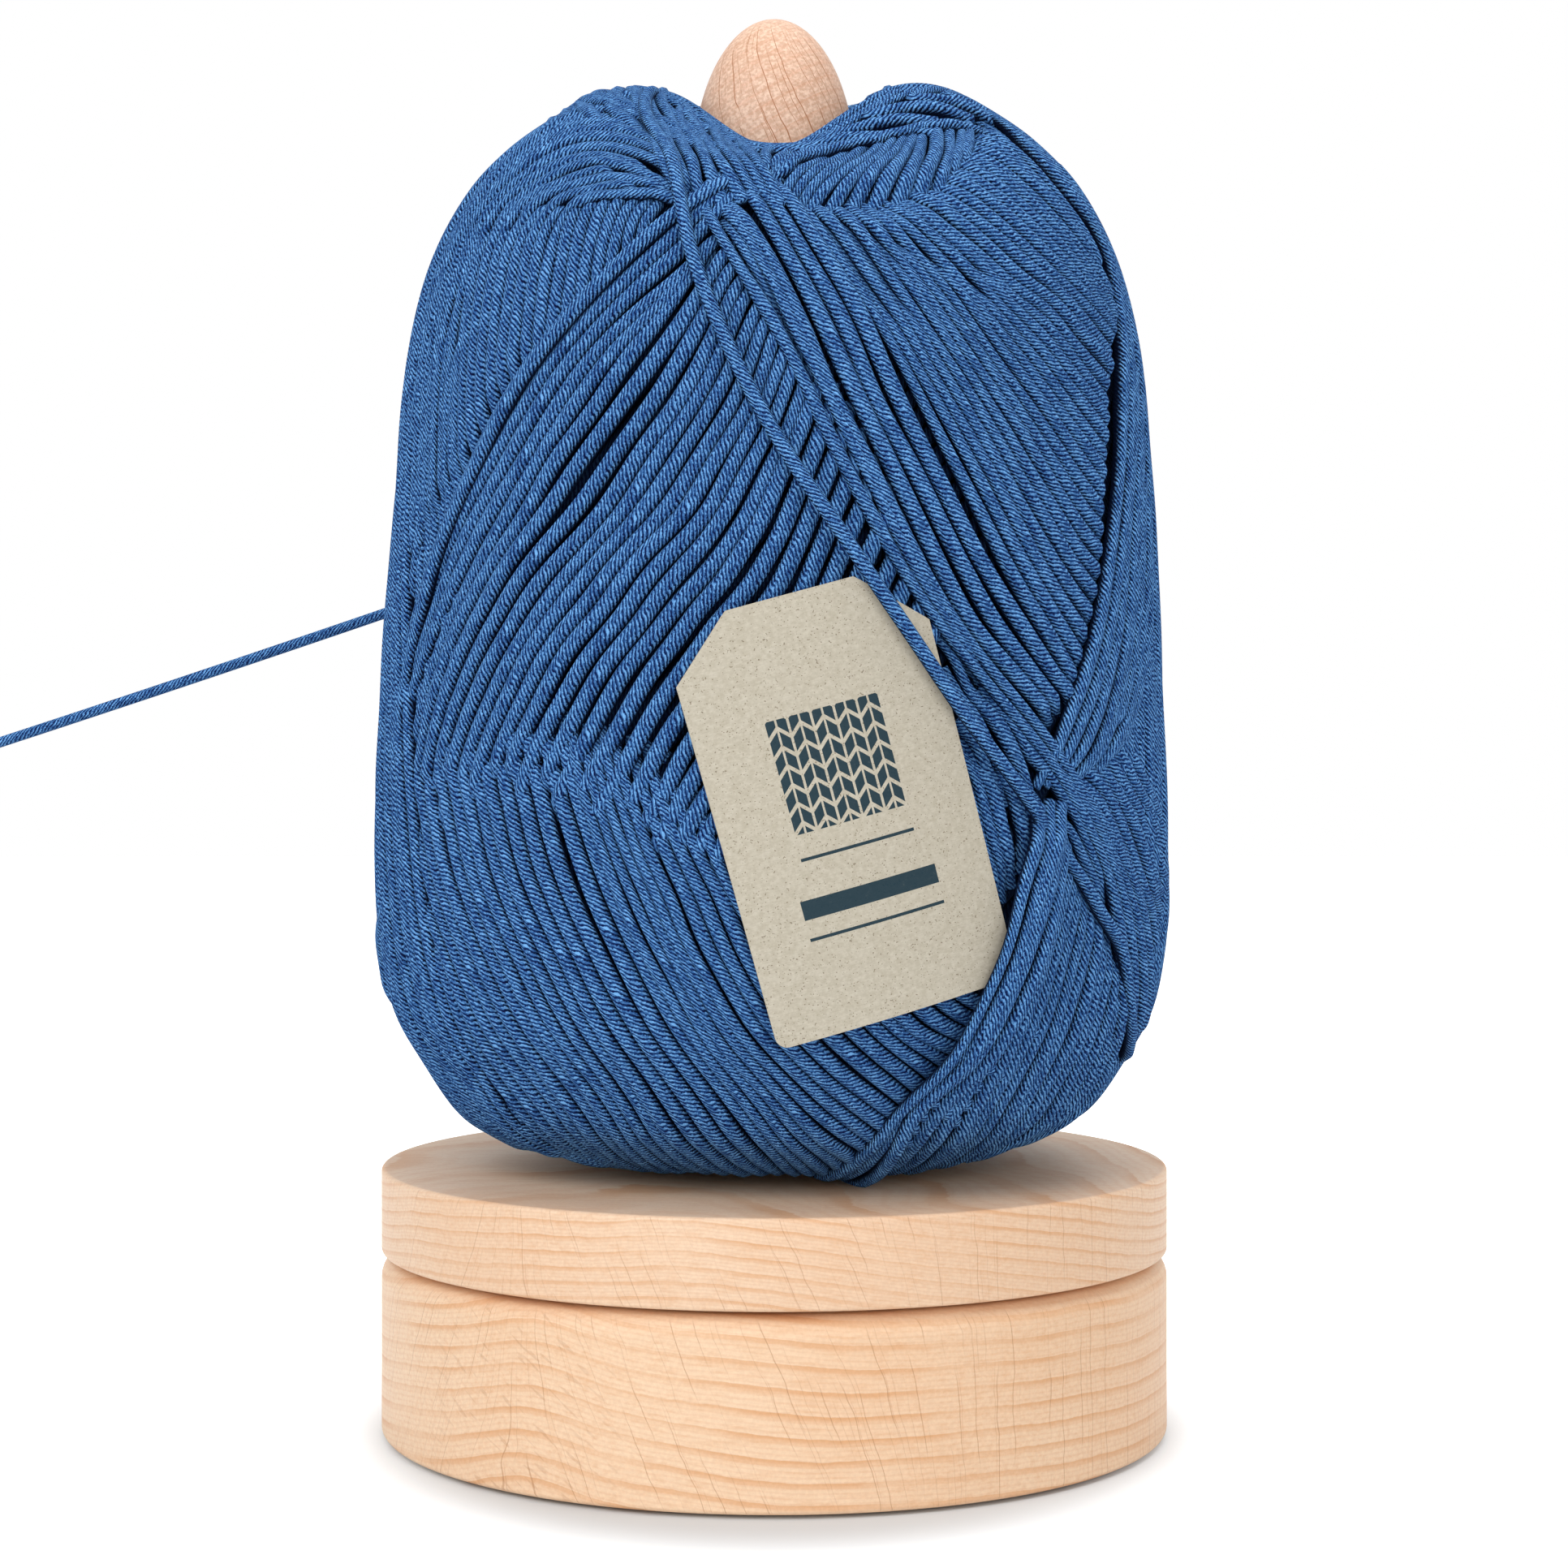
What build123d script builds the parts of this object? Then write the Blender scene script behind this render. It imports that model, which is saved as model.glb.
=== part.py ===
from build123d import *
from math import cos, exp, hypot, pi, radians, sin, tan
import os

# A yarn ball holder turned from beech: a heavy base, a plate that spins above it on a
# ball bearing round one bolt, and a dowel that magnets hold in the plate's socket.
# A ball of yarn with its paper tag sits on the dowel and pays out one taut strand.
# Millimetres, +Z up. The origin is where the spindle's axis meets the table.

# Discs
disc_radius = 60.0
base_thickness = 26.5
base_bottom_chamfer = 0.7
base_top_round = 3.2
base_round_steps = 2
disc_gap = 0.8
plate_thickness = 12.6
plate_chamfer = 0.5

# Rubber pads, stuck to the underside of the base
foot_radius = 6.0
foot_thickness = 0.5
foot_circle_radius = 45.0
foot_azimuth = 45.0
foot_count = 4

# Ball bearing, pressed into the top of the base
bearing_radius = 9.5
bearing_bore_radius = 3.0
bearing_width = 6.0
bearing_press_clearance = 0.02
bearing_ball_diameter = 3.5
bearing_ball_count = 7
round_ball_sides = 8
groove_clearance = 0.08
ring_shoulder_height = 0.7
cage_thickness = 1.4
cage_height = 3.6
cage_floor = 0.4
cage_clearance = 0.25

# Bolt through plate and bearing, with its washers and nut
bolt_radius = 2.95
bolt_length = 20.0
bolt_head_radius = 6.0
bolt_head_height = 3.3
bolt_hole_clearance = 0.15
bolt_seat_clearance = 0.05
washer_radius = 4.6
nut_washer_thickness = 1.6
nut_width = 10.0
nut_height = 5.0
nut_sides = 6
web_thickness = 3.0
web_hole_radius = 6.6
counterbore_radius = 9.0

# Spindle, its socket and the pair of magnets between them
spindle_radius = 12.5
spindle_length = 180.4
spindle_nose_length = 23.0
spindle_nose_chords = 6
spindle_foot_chamfer = 0.8
socket_depth = 5.0
socket_clearance = 0.1
magnet_radius = 7.5
magnet_thickness = 2.5
magnet_clearance = 0.05

# Yarn ball, wound soft: a full belly low down, long shoulders, a crown round the hole
# that sinks at the front. The outline's shares are of radius, height and crown sink.
yarn_ball_radius = 60.4
yarn_ball_height = 164.8
crown_sink = 12.5
crown_sink_half_angle = 38.0
yarn_hole_clearance = 0.4
yarn_rest_clearance = 0.3
yarn_sides = 36
yarn_outline_shares = [
    (0.500, 0.000, 0.00),
    (0.725, 0.030, 0.00),
    (0.880, 0.085, 0.00),
    (0.960, 0.150, 0.00),
    (0.993, 0.215, 0.00),
    (1.000, 0.290, 0.00),
    (0.995, 0.370, 0.00),
    (0.982, 0.450, 0.00),
    (0.966, 0.540, 0.00),
    (0.952, 0.630, 0.00),
    (0.932, 0.720, 0.00),
    (0.870, 0.820, 0.08),
    (0.780, 0.885, 0.28),
    (0.670, 0.935, 0.62),
    (0.560, 0.968, 0.86),
    (0.460, 0.990, 1.00),
    (0.375, 1.000, 1.00),
    (0.290, 0.985, 0.75),
]
crown_dip_share = 0.925
crown_dip_sink_share = 0.20

# Creases where the wound bands part, in front and, half a turn on, behind. Each has two
# ends: shares of a full turn, from the front towards +X, and of the ball's height.
crease_depth = 2.6
crease_half_width = 6.5
crease_shares = [
    ((-0.165, 0.300), (-0.085, 0.080)),
    ((0.015, 0.800), (0.125, 0.430)),
    ((-0.190, 0.720), (-0.180, 0.480)),
]

# Taut strand: its route leaves the back of the ball and runs down to the left
strand_diameter = 1.84
strand_route = [
    (0.0, 58.0, 151.4),
    (-70.0, 58.0, 126.4),
    (-137.0, 58.0, 104.5),
]
strand_radius_share = 0.45

# Knot that ends the strand
knot_radius = 2.5

# Paper tag, tucked under the yarn at the front and bent round the ball
tag_width = 35.1
tag_length = 58.4
tag_thickness = 0.4
tag_chamfer_width = 8.7
tag_chamfer_length = 8.2
tag_corner_round = 1.6
tag_standoff = 0.4
tag_azimuth = 9.2
tag_tilt = 15.3
tag_centre_height = 95.8

# Heights that the sizes above give
base_bottom = foot_thickness
base_top = base_bottom + base_thickness
plate_bottom = base_top + disc_gap
plate_top = plate_bottom + plate_thickness
bearing_top = base_top
bearing_bottom = bearing_top - bearing_width
bearing_middle = (bearing_top + bearing_bottom) / 2
web_bottom = bearing_bottom - web_thickness
nut_washer_bottom = bearing_bottom - nut_washer_thickness
nut_bottom = nut_washer_bottom - nut_height
socket_floor = plate_top - socket_depth
bolt_top = socket_floor - magnet_thickness
bolt_bottom = bolt_top - bolt_length
spindle_top = socket_floor + spindle_length
yarn_bottom = plate_top + yarn_rest_clearance

# Radii that the sizes above give
ball_radius = bearing_ball_diameter / 2
ball_circle_radius = (bearing_radius + bearing_bore_radius) / 2
groove_radius = ball_radius + groove_clearance
shoulder_offset = groove_radius - ring_shoulder_height
bearing_pocket_radius = bearing_radius + bearing_press_clearance
bolt_hole_radius = bolt_radius + bolt_hole_clearance
magnet_pocket_radius = magnet_radius + magnet_clearance
socket_radius = spindle_radius + socket_clearance
yarn_hole_radius = spindle_radius + yarn_hole_clearance
strand_radius = strand_diameter / 2


def arc_points(centre, radius, start, turn, steps):
    """Corner points of chords along an arc, in degrees, in (radius, height) terms."""
    angles = [radians(start + turn * step / steps) for step in range(steps + 1)]
    return [(centre[0] + radius * cos(a), centre[1] + radius * sin(a)) for a in angles]


def turned(outline):
    """Turn an outline of (radius, height) points about the spindle's axis."""
    face = make_face(Plane.XZ * Polyline(*outline, close=True))
    return revolve(face, axis=Axis.Z)


def faceted(rings):
    """A ring-shaped solid with triangles between rings of points, the last ring and the
    first one joined, so that a large soft form stays light."""
    facets = []
    for ring, next_ring in zip(rings, rings[1:] + rings[:1]):
        for here in range(len(ring)):
            beside = (here + 1) % len(ring)
            facets.append(Face(Wire.make_polygon([ring[here], ring[beside], next_ring[beside]])))
            facets.append(Face(Wire.make_polygon([ring[here], next_ring[beside], next_ring[here]])))
    return Solid(Shell(facets))


def upright(radius, bottom, top, bore=0.0):
    """A round bar or tube on the spindle's axis, from one height to another."""
    section = Circle(radius) - Circle(bore) if bore else Circle(radius)
    return extrude(Pos(0, 0, bottom) * section, top - bottom)


def disc_rim(bottom, top, bottom_chamfer, top_round, steps):
    """The outer rim of a disc, chamfered below and eased above in a few steps."""
    lower = [(disc_radius - bottom_chamfer, bottom), (disc_radius, bottom + bottom_chamfer)]
    upper = arc_points((disc_radius - top_round, top - top_round), top_round, 0, 90, steps)
    return lower + upper


def base_disc():
    """Base with the bearing's pocket above and the nut's counterbore below."""
    outline = [(counterbore_radius, base_bottom)]
    outline += disc_rim(base_bottom, base_top, base_bottom_chamfer, base_top_round, base_round_steps)
    outline += [
        (bearing_pocket_radius, base_top),
        (bearing_pocket_radius, bearing_bottom),
        (web_hole_radius, bearing_bottom),
        (web_hole_radius, web_bottom),
        (counterbore_radius, web_bottom),
    ]
    return turned(outline)


def rotating_plate():
    """Plate with the spindle's socket, a magnet's pocket and the bolt's countersink."""
    seat_radius = bolt_head_radius + bolt_seat_clearance
    outline = [(bolt_hole_radius, plate_bottom)]
    outline += disc_rim(plate_bottom, plate_top, plate_chamfer, plate_chamfer, 1)
    outline += [
        (socket_radius, plate_top),
        (socket_radius, socket_floor),
        (magnet_pocket_radius, socket_floor),
        (magnet_pocket_radius, bolt_top),
        (seat_radius, bolt_top),
        (bolt_hole_radius, bolt_top - bolt_head_height),
    ]
    return turned(outline)


def rubber_foot(number):
    """One pad of four; they stand between the axes."""
    place = PolarLocations(foot_circle_radius, foot_count, foot_azimuth).locations[number]
    return place * upright(foot_radius, 0, foot_thickness)


def ring_outline(wall_radius, outward):
    """Half section of a bearing ring, grooved on the side that faces the balls."""
    half_width = bearing_width / 2
    flat = groove_radius * tan(radians(180 / round_ball_sides))
    mouth = flat + ring_shoulder_height
    shoulder = ball_circle_radius + outward * shoulder_offset
    bottom_of_groove = ball_circle_radius + outward * groove_radius
    return [
        (wall_radius, bearing_middle - half_width),
        (shoulder, bearing_middle - half_width),
        (shoulder, bearing_middle - mouth),
        (bottom_of_groove, bearing_middle - flat),
        (bottom_of_groove, bearing_middle + flat),
        (shoulder, bearing_middle + mouth),
        (shoulder, bearing_middle + half_width),
        (wall_radius, bearing_middle + half_width),
    ]


def round_ball(radius):
    """A ball as the common part of three crossed octagonal bars, to stay light."""
    half_side = 180 / round_ball_sides
    octagon = RegularPolygon(radius, round_ball_sides, major_radius=False, rotation=half_side)
    bar = extrude(octagon, radius, both=True)
    return bar & Rot(90, 0, 0) * bar & Rot(0, 90, 0) * bar


def bearing_balls():
    """The bearing's balls, evenly round their circle."""
    circle = PolarLocations(ball_circle_radius, bearing_ball_count)
    return [Pos(0, 0, bearing_middle) * place * round_ball(ball_radius) for place in circle]


def ball_cage():
    """A crown cage: a thin ring with an open slot for each ball."""
    bottom = bearing_middle - ball_radius - cage_clearance - cage_floor
    ring = upright(
        ball_circle_radius + cage_thickness / 2,
        bottom,
        bottom + cage_height,
        ball_circle_radius - cage_thickness / 2,
    )
    slot = Box(
        cage_thickness * 2,
        bearing_ball_diameter + cage_clearance * 2,
        cage_height,
        align=(Align.CENTER, Align.CENTER, Align.MIN),
    )
    circle = PolarLocations(ball_circle_radius, bearing_ball_count)
    return ring - [Pos(0, 0, bottom + cage_floor) * place * slot for place in circle]


def axle_bolt():
    """Countersunk bolt, head up, that carries the plate and turns with it."""
    outline = [
        (0, bolt_bottom),
        (bolt_radius, bolt_bottom),
        (bolt_radius, bolt_top - bolt_head_height),
        (bolt_head_radius, bolt_top),
        (0, bolt_top),
    ]
    return turned(outline)


def lock_nut():
    """Hexagon nut under the inner ring's washer."""
    section = RegularPolygon(nut_width / 2, nut_sides, major_radius=False) - Circle(bolt_radius)
    return extrude(Pos(0, 0, nut_bottom) * section, nut_height)


def spindle():
    """Dowel with an elliptical nose and a pocket for its magnet."""
    nose_base = spindle_top - spindle_nose_length
    outline = [
        (0, socket_floor + magnet_thickness),
        (magnet_pocket_radius, socket_floor + magnet_thickness),
        (magnet_pocket_radius, socket_floor),
        (spindle_radius - spindle_foot_chamfer, socket_floor),
        (spindle_radius, socket_floor + spindle_foot_chamfer),
    ]
    for across_share, up_share in arc_points((0, 0), 1, 0, 90, spindle_nose_chords):
        height = nose_base + spindle_nose_length * up_share
        outline.append((spindle_radius * across_share, height))
    return turned(outline)


def crease_at(turn, height):
    """How far the ball's side is drawn in at a place, near where its bands part."""
    around = 2 * pi * yarn_ball_radius
    along = ((turn / 180 + 0.5) % 1 - 0.5) * around / 2
    up = height - yarn_bottom
    drawn_in = 0
    for (start_turn, start_height), (end_turn, end_height) in crease_shares:
        start = (start_turn * around, start_height * yarn_ball_height)
        run = (end_turn * around - start[0], end_height * yarn_ball_height - start[1])
        share = ((along - start[0]) * run[0] + (up - start[1]) * run[1]) / hypot(*run) ** 2
        nearest = min(max(share, 0), 1)
        distance = hypot(along - start[0] - nearest * run[0], up - start[1] - nearest * run[1])
        drawn_in = max(drawn_in, crease_depth * exp(-((distance / crease_half_width) ** 2)))
    return drawn_in


def yarn_ring(radius, height, sink):
    """A ring of points round the ball, lower at the front by the sink."""
    ring = []
    for side in range(yarn_sides):
        turn = 360 * side / yarn_sides - 180
        lowered = height - sink * exp(-((turn / crown_sink_half_angle) ** 2))
        drawn_in = radius - crease_at(turn, height) if radius > yarn_hole_radius else radius
        ring.append(Vector(drawn_in * sin(radians(turn)), -drawn_in * cos(radians(turn)), lowered))
    return ring


def yarn_ball():
    """The wound ball as one closed form, with its hole, its sunk crown and its creases."""
    rings = [yarn_ring(yarn_hole_radius, yarn_bottom, 0)]
    for radius_share, height_share, sink_share in yarn_outline_shares:
        height = yarn_bottom + yarn_ball_height * height_share
        rings.append(yarn_ring(yarn_ball_radius * radius_share, height, crown_sink * sink_share))
    dip_height = yarn_bottom + yarn_ball_height * crown_dip_share
    rings.append(yarn_ring(yarn_hole_radius, dip_height, crown_sink * crown_dip_sink_share))
    return faceted(rings)


def strand_path():
    """The strand's runs, joined by arcs as large as the runs allow, and their radii."""
    points = [Vector(*point) for point in strand_route]
    radii = []
    for before, corner, after in zip(points, points[1:], points[2:]):
        turn = (corner - before).get_angle(after - corner)
        shorter = min((corner - before).length, (after - corner).length)
        radii.append(strand_radius_share * shorter / tan(radians(turn / 2)))
    return FilletPolyline(*points, radius=radii), radii


def yarn_strand():
    """The taut strand, a plain tube along its route."""
    path, radii = strand_path()
    tube = sweep(Plane(path @ 0, z_dir=path % 0) * Circle(strand_radius), path=path)
    volume_share = tube.volume / (Circle(strand_radius).area * path.length)
    print("strand arc radii", [round(radius) for radius in radii])
    print("strand length", round(path.length, 1), "volume share", round(volume_share, 4))
    return tube


def yarn_end_knot():
    """The round knot on the end of the strand."""
    path, _ = strand_path()
    return Plane(path @ 1, z_dir=path % 1) * Pos(0, 0, knot_radius) * round_ball(knot_radius)


def paper_tag():
    """A tag with two cut corners, bent round the ball and tilted to the left."""
    half_width = tag_width / 2
    half_length = tag_length / 2
    outline = [
        (-half_width, -half_length),
        (half_width, -half_length),
        (half_width, half_length - tag_chamfer_length),
        (half_width - tag_chamfer_width, half_length),
        (tag_chamfer_width - half_width, half_length),
        (-half_width, half_length - tag_chamfer_length),
    ]
    face = make_face(Polyline(*outline, close=True))
    face = fillet(face.vertices().sort_by(Axis.Y)[:2], tag_corner_round)
    inside = yarn_ball_radius + tag_standoff
    outside = inside + tag_thickness
    blank = extrude(Rot(0, 0, tag_tilt) * face, outside)
    place = Pos(0, 0, tag_centre_height) * Rot(0, 0, tag_azimuth) * Rot(90, 0, 0)
    shell = upright(outside, tag_centre_height - tag_length, tag_centre_height + tag_length, inside)
    return shell & place * blank


def write(name, solids):
    """Write one node, a solid or a group of alike solids, as a STEP file."""
    shape = Compound(children=solids) if isinstance(solids, list) else solids
    shape.label = name
    export_step(shape, f"parts/{name}.step")


def main():
    os.makedirs("parts", exist_ok=True)
    write("base_disc", base_disc())
    for number in range(foot_count):
        write(f"rubber_foot_{number + 1}", rubber_foot(number))
    write("bearing_outer_ring", turned(ring_outline(bearing_radius, 1)))
    write("bearing_inner_ring", turned(ring_outline(bearing_bore_radius, -1)))
    write("bearing_balls", bearing_balls())
    write("ball_cage", ball_cage())
    write("axle_bolt", axle_bolt())
    write("spacer_washer", upright(washer_radius, bearing_top, plate_bottom, bearing_bore_radius))
    write("nut_washer", upright(washer_radius, nut_washer_bottom, bearing_bottom, bearing_bore_radius))
    write("lock_nut", lock_nut())
    write("rotating_plate", rotating_plate())
    write("plate_magnet", upright(magnet_radius, bolt_top, socket_floor))
    write("spindle", spindle())
    write("spindle_magnet", upright(magnet_radius, socket_floor, socket_floor + magnet_thickness))
    write("yarn_ball", yarn_ball())
    write("yarn_strand", yarn_strand())
    write("yarn_end_knot", yarn_end_knot())
    write("paper_tag", paper_tag())


main()
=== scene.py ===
from math import atan2, cos, pi, radians, sin

import bpy
import numpy as np
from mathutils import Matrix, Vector
from mathutils.bvhtree import BVHTree


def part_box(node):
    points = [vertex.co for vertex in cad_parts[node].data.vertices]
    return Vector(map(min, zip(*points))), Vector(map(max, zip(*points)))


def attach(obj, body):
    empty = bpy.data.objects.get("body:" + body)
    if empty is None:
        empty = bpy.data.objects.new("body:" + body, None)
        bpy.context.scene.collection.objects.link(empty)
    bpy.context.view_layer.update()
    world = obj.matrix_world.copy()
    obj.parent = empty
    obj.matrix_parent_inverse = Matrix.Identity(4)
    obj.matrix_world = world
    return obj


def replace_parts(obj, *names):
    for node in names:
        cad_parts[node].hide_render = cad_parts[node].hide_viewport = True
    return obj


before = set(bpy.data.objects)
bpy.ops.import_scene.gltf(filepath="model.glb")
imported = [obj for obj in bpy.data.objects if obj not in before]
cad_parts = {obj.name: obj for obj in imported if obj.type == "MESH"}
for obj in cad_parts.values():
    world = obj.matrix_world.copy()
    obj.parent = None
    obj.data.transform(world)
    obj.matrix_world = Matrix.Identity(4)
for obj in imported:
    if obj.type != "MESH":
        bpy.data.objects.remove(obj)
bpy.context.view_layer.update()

# Looks of a yarn ball holder: turned beech discs and dowel, a wound ball of plied blue
# yarn with a kraft tag, and one taut strand that runs off to the left.
# Metres, +Z up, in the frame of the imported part. Small sizes are written in mm.

mm = 0.001
random = np.random.default_rng(7)

# Photograph: its width in pixels, and the column of the spindle's axis
photo_width = 1932
axis_column = 953.97

# Camera fitted to the photograph
focal_pixels = 3626
sensor_width_mm = 36
camera_distance = 453.4 * mm
camera_height = 100.1 * mm
camera_pitch = 0.004
camera_place = Vector((0, -camera_distance, camera_height))

# Sizes read from the frame
base_low, base_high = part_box("base_disc")
plate_low, plate_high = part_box("rotating_plate")
_, spindle_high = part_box("spindle")
disc_radius = plate_high.x
spindle_radius = spindle_high.x

# Strand: the free strand's route, as in the part's source
strand_diameter = 1.84 * mm
strand_route = [
    (0, 58.0 * mm, 151.4 * mm),
    (-70 * mm, 58.0 * mm, 126.4 * mm),
    (-137 * mm, 58.0 * mm, 104.5 * mm),
]

# Wound yarn: its section, and the points of its mesh
yarn_radius = 1.25 * mm
least_yarn_radius = 0.78 * mm
yarn_sides = 9
yarn_step = 0.9 * mm

# Crowded strands: with less room than this one of two dives, by its rank
least_room = 1.4 * mm
dive_onset = 0.2 * least_room
dive_depth = 2.4 * mm
dive_ranks = 4
outer_rank = 9

# How far a strand strays at random: in height as a whole, then over its length along the
# form and in height, about one wave in each stretch
lift_spread = 0.14 * mm
stray_along_form = 0.25 * mm
stray_in_height = 0.2 * mm
stray_stretch = 18 * mm

# Plies: how far apart they lie along a strand, how many there are, and how far their
# pattern may shift from strand to strand, in mm
ply_spacing = 0.77
ply_count = 9
ply_shift = 40

# Edges sharper than this many degrees stay crisp
crisp_angle = 40


def add_object(name, data):
    made = bpy.data.objects.new(name, data)
    bpy.context.scene.collection.objects.link(made)
    return made


# Camera

def make_camera():
    """A camera that sees the object as the photograph does."""
    data = bpy.data.cameras.new("camera")
    data.sensor_width = sensor_width_mm
    data.lens = sensor_width_mm * focal_pixels / photo_width
    data.shift_x = (photo_width / 2 - axis_column) / photo_width
    data.clip_start = 0.01
    camera = add_object("camera", data)
    camera.location = camera_place
    camera.rotation_euler = (pi / 2 - camera_pitch, 0, 0)
    bpy.context.scene.camera = camera


def pixel_ray(column, row):
    """Direction from the camera through a pixel of the photograph."""
    across = column - axis_column
    up = photo_width / 2 - row
    forward = Vector((0, cos(camera_pitch), -sin(camera_pitch)))
    upward = Vector((0, sin(camera_pitch), cos(camera_pitch)))
    return (forward * focal_pixels + Vector((1, 0, 0)) * across + upward * up).normalized()


# Node materials

class Value:
    """What a node puts out. Arithmetic with it adds the math nodes that work it out."""

    def __init__(self, graph, socket):
        self.graph = graph
        self.socket = socket

    def __add__(self, other):
        return self.graph.math("ADD", self, other)

    def __sub__(self, other):
        return self.graph.math("SUBTRACT", self, other)

    def __mul__(self, other):
        return self.graph.math("MULTIPLY", self, other)

    def __truediv__(self, other):
        return self.graph.math("DIVIDE", self, other)


class Graph:
    """The node tree of a material or a world, with a short call for each kind of node."""

    def __init__(self, owner):
        owner.use_nodes = True
        self.owner = owner
        self.tree = owner.node_tree
        self.tree.nodes.clear()

    def put(self, socket, value):
        if isinstance(value, Value):
            self.tree.links.new(value.socket, socket)
        else:
            socket.default_value = value

    def node(self, kind, settings=None, **inputs):
        """A node whose inputs are given by name, with _ for a space."""
        made = self.tree.nodes.new(kind)
        for key, value in (settings or {}).items():
            setattr(made, key, value)
        for key, value in inputs.items():
            self.put(made.inputs[key.replace("_", " ")], value)
        return made

    def value(self, output, kind, settings=None, **inputs):
        """One output, by its number or name, of a new node."""
        return Value(self, self.node(kind, settings, **inputs).outputs[output])

    def math(self, operation, *values):
        made = self.node("ShaderNodeMath", {"operation": operation})
        for socket, value in zip(made.inputs, values):
            self.put(socket, value)
        return Value(self, made.outputs[0])

    def mix(self, share, first, second):
        made = self.node("ShaderNodeMix", {"data_type": "RGBA"})
        for number, value in ((0, share), (6, first), (7, second)):
            self.put(made.inputs[number], value)
        return Value(self, made.outputs[2])

    def smooth(self, value, low, high, to_low=0.0, to_high=1.0, curve="SMOOTHSTEP"):
        """A value between low and high, carried over to a range of its own, eased at both ends."""
        made = self.node("ShaderNodeMapRange", {"interpolation_type": curve})
        for socket, number in zip(made.inputs, (value, low, high, to_low, to_high)):
            self.put(socket, number)
        return Value(self, made.outputs[0])

    def noise(self, place, scale=1.0, detail=2.0, roughness=0.5):
        settings = {"Vector": place, "Scale": scale, "Detail": detail, "Roughness": roughness}
        return self.value(0, "ShaderNodeTexNoise", **settings)

    def parts(self, vector):
        return [Value(self, socket) for socket in self.node("ShaderNodeSeparateXYZ", Vector=vector).outputs]

    def vector(self, x, y, z):
        return self.value(0, "ShaderNodeCombineXYZ", X=x, Y=y, Z=z)

    def place(self, kind="Object"):
        return self.value(kind, "ShaderNodeTexCoord")

    def attribute(self, name, output="Vector"):
        return self.value(output, "ShaderNodeAttribute", {"attribute_name": name})

    def bump(self, height, strength, distance):
        return self.value(0, "ShaderNodeBump", Height=height, Strength=strength, Distance=distance)

    def seen(self):
        """1 for rays that see a surface straight, in a gloss or through glass, else 0."""
        rays = self.node("ShaderNodeLightPath").outputs
        camera = Value(self, rays["Is Camera Ray"])
        glossy = Value(self, rays["Is Glossy Ray"])
        clear = Value(self, rays["Is Transmission Ray"])
        return self.math("MAXIMUM", self.math("MAXIMUM", camera, glossy), clear)

    def surface(self, shader="ShaderNodeBsdfPrincipled", output="ShaderNodeOutputMaterial", **inputs):
        """Ends the tree with one shader."""
        self.node(output, Surface=self.value(0, shader, **inputs))
        return self.owner


def material_graph(name):
    return Graph(bpy.data.materials.new(name))


def colour(red, green, blue):
    """A shader colour from the 0 to 255 values of a picture."""
    def linear(value):
        share = value / 255
        return share / 12.92 if share <= 0.04045 else ((share + 0.055) / 1.055) ** 2.4
    return (linear(red), linear(green), linear(blue), 1)


def ray_lines(g, around, height, width, thickness, rarity):
    """Thin upright lines, one in each column of a width, that start and stop at random."""
    column = around / width
    cell = g.math("FLOOR", column)
    centre = g.value(0, "ShaderNodeTexWhiteNoise", {"noise_dimensions": "1D"}, W=cell) * 0.5 + 0.25
    waver = (g.noise(g.vector(cell, height * 130, 0.0), 1.0, 1) - 0.5) * 0.2
    across = g.math("FRACT", column) - centre + waver
    line = g.smooth(g.math("ABSOLUTE", across), thickness * 0.4, thickness, 1.0, 0.0)
    shown = g.noise(g.vector(cell * 3.7, height * 55, 4.0), 1.0, 0.0)
    return line * g.smooth(shown, rarity - 0.06, rarity + 0.08)


# Wood: the colour of its rays, flecks and pores, and its tint
wood_dark = colour(170, 108, 62)
wood_pink = colour(220, 150, 118)

# Where on the front its rings arch, and how wide the arch is
arch_middle = -34 * mm
arch_width = 13 * mm

# Columns of its rays: their width, the share of it that a ray takes, and how rare rays are
coarse_rays = (3.1 * mm, 0.032, 0.5)
fine_rays = (1.1 * mm, 0.07, 0.56)


def growth_rings(g, place, ring_width, slope, bow, arch):
    """How much late wood shows, and the fine lines within each ring.

    slope tilts the rings up to the right, bow bends them, and arch lifts them at the left."""
    x, y, z = g.parts(place)
    from_arch = (x - arch_middle) / arch_width
    height = z - x * slope + x * x * bow - g.math("DIVIDE", arch, from_arch * from_arch + 1.0) + y * 0.06
    height = height + g.noise(place, 13) * (9 * mm) + g.noise(place, 320) * (0.4 * mm)
    phase = g.math("FRACT", height / ring_width)
    ring = g.smooth(phase, 0.55, 0.95) * g.smooth(phase, 0.95, 0.99, 1.0, 0.0)
    ring = ring * g.smooth(g.noise(place, 60, 1), 0.3, 0.65, 0.35, 1.0)
    return ring, g.math("SINE", height / (ring_width / 26))


def wood_rays(g, place, middle, radius):
    """Fine and coarse rays round a turned piece, which lean about its middle height."""
    x, y, z = g.parts(place)
    lean = g.smooth(x, -46 * mm, -26 * mm, -0.5, 0.42) * g.smooth(x, 4 * mm, 34 * mm, 1.0, 0.06)
    shift = lean * (z - middle) + g.noise(place, 150) * (1.6 * mm)
    around = g.math("ARCTAN2", x, y * -1.0) * radius + shift
    coarse, fine = (ray_lines(g, around, z, *columns) for columns in (coarse_rays, fine_rays))
    return g.math("MAXIMUM", coarse, fine * 0.5)


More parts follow.
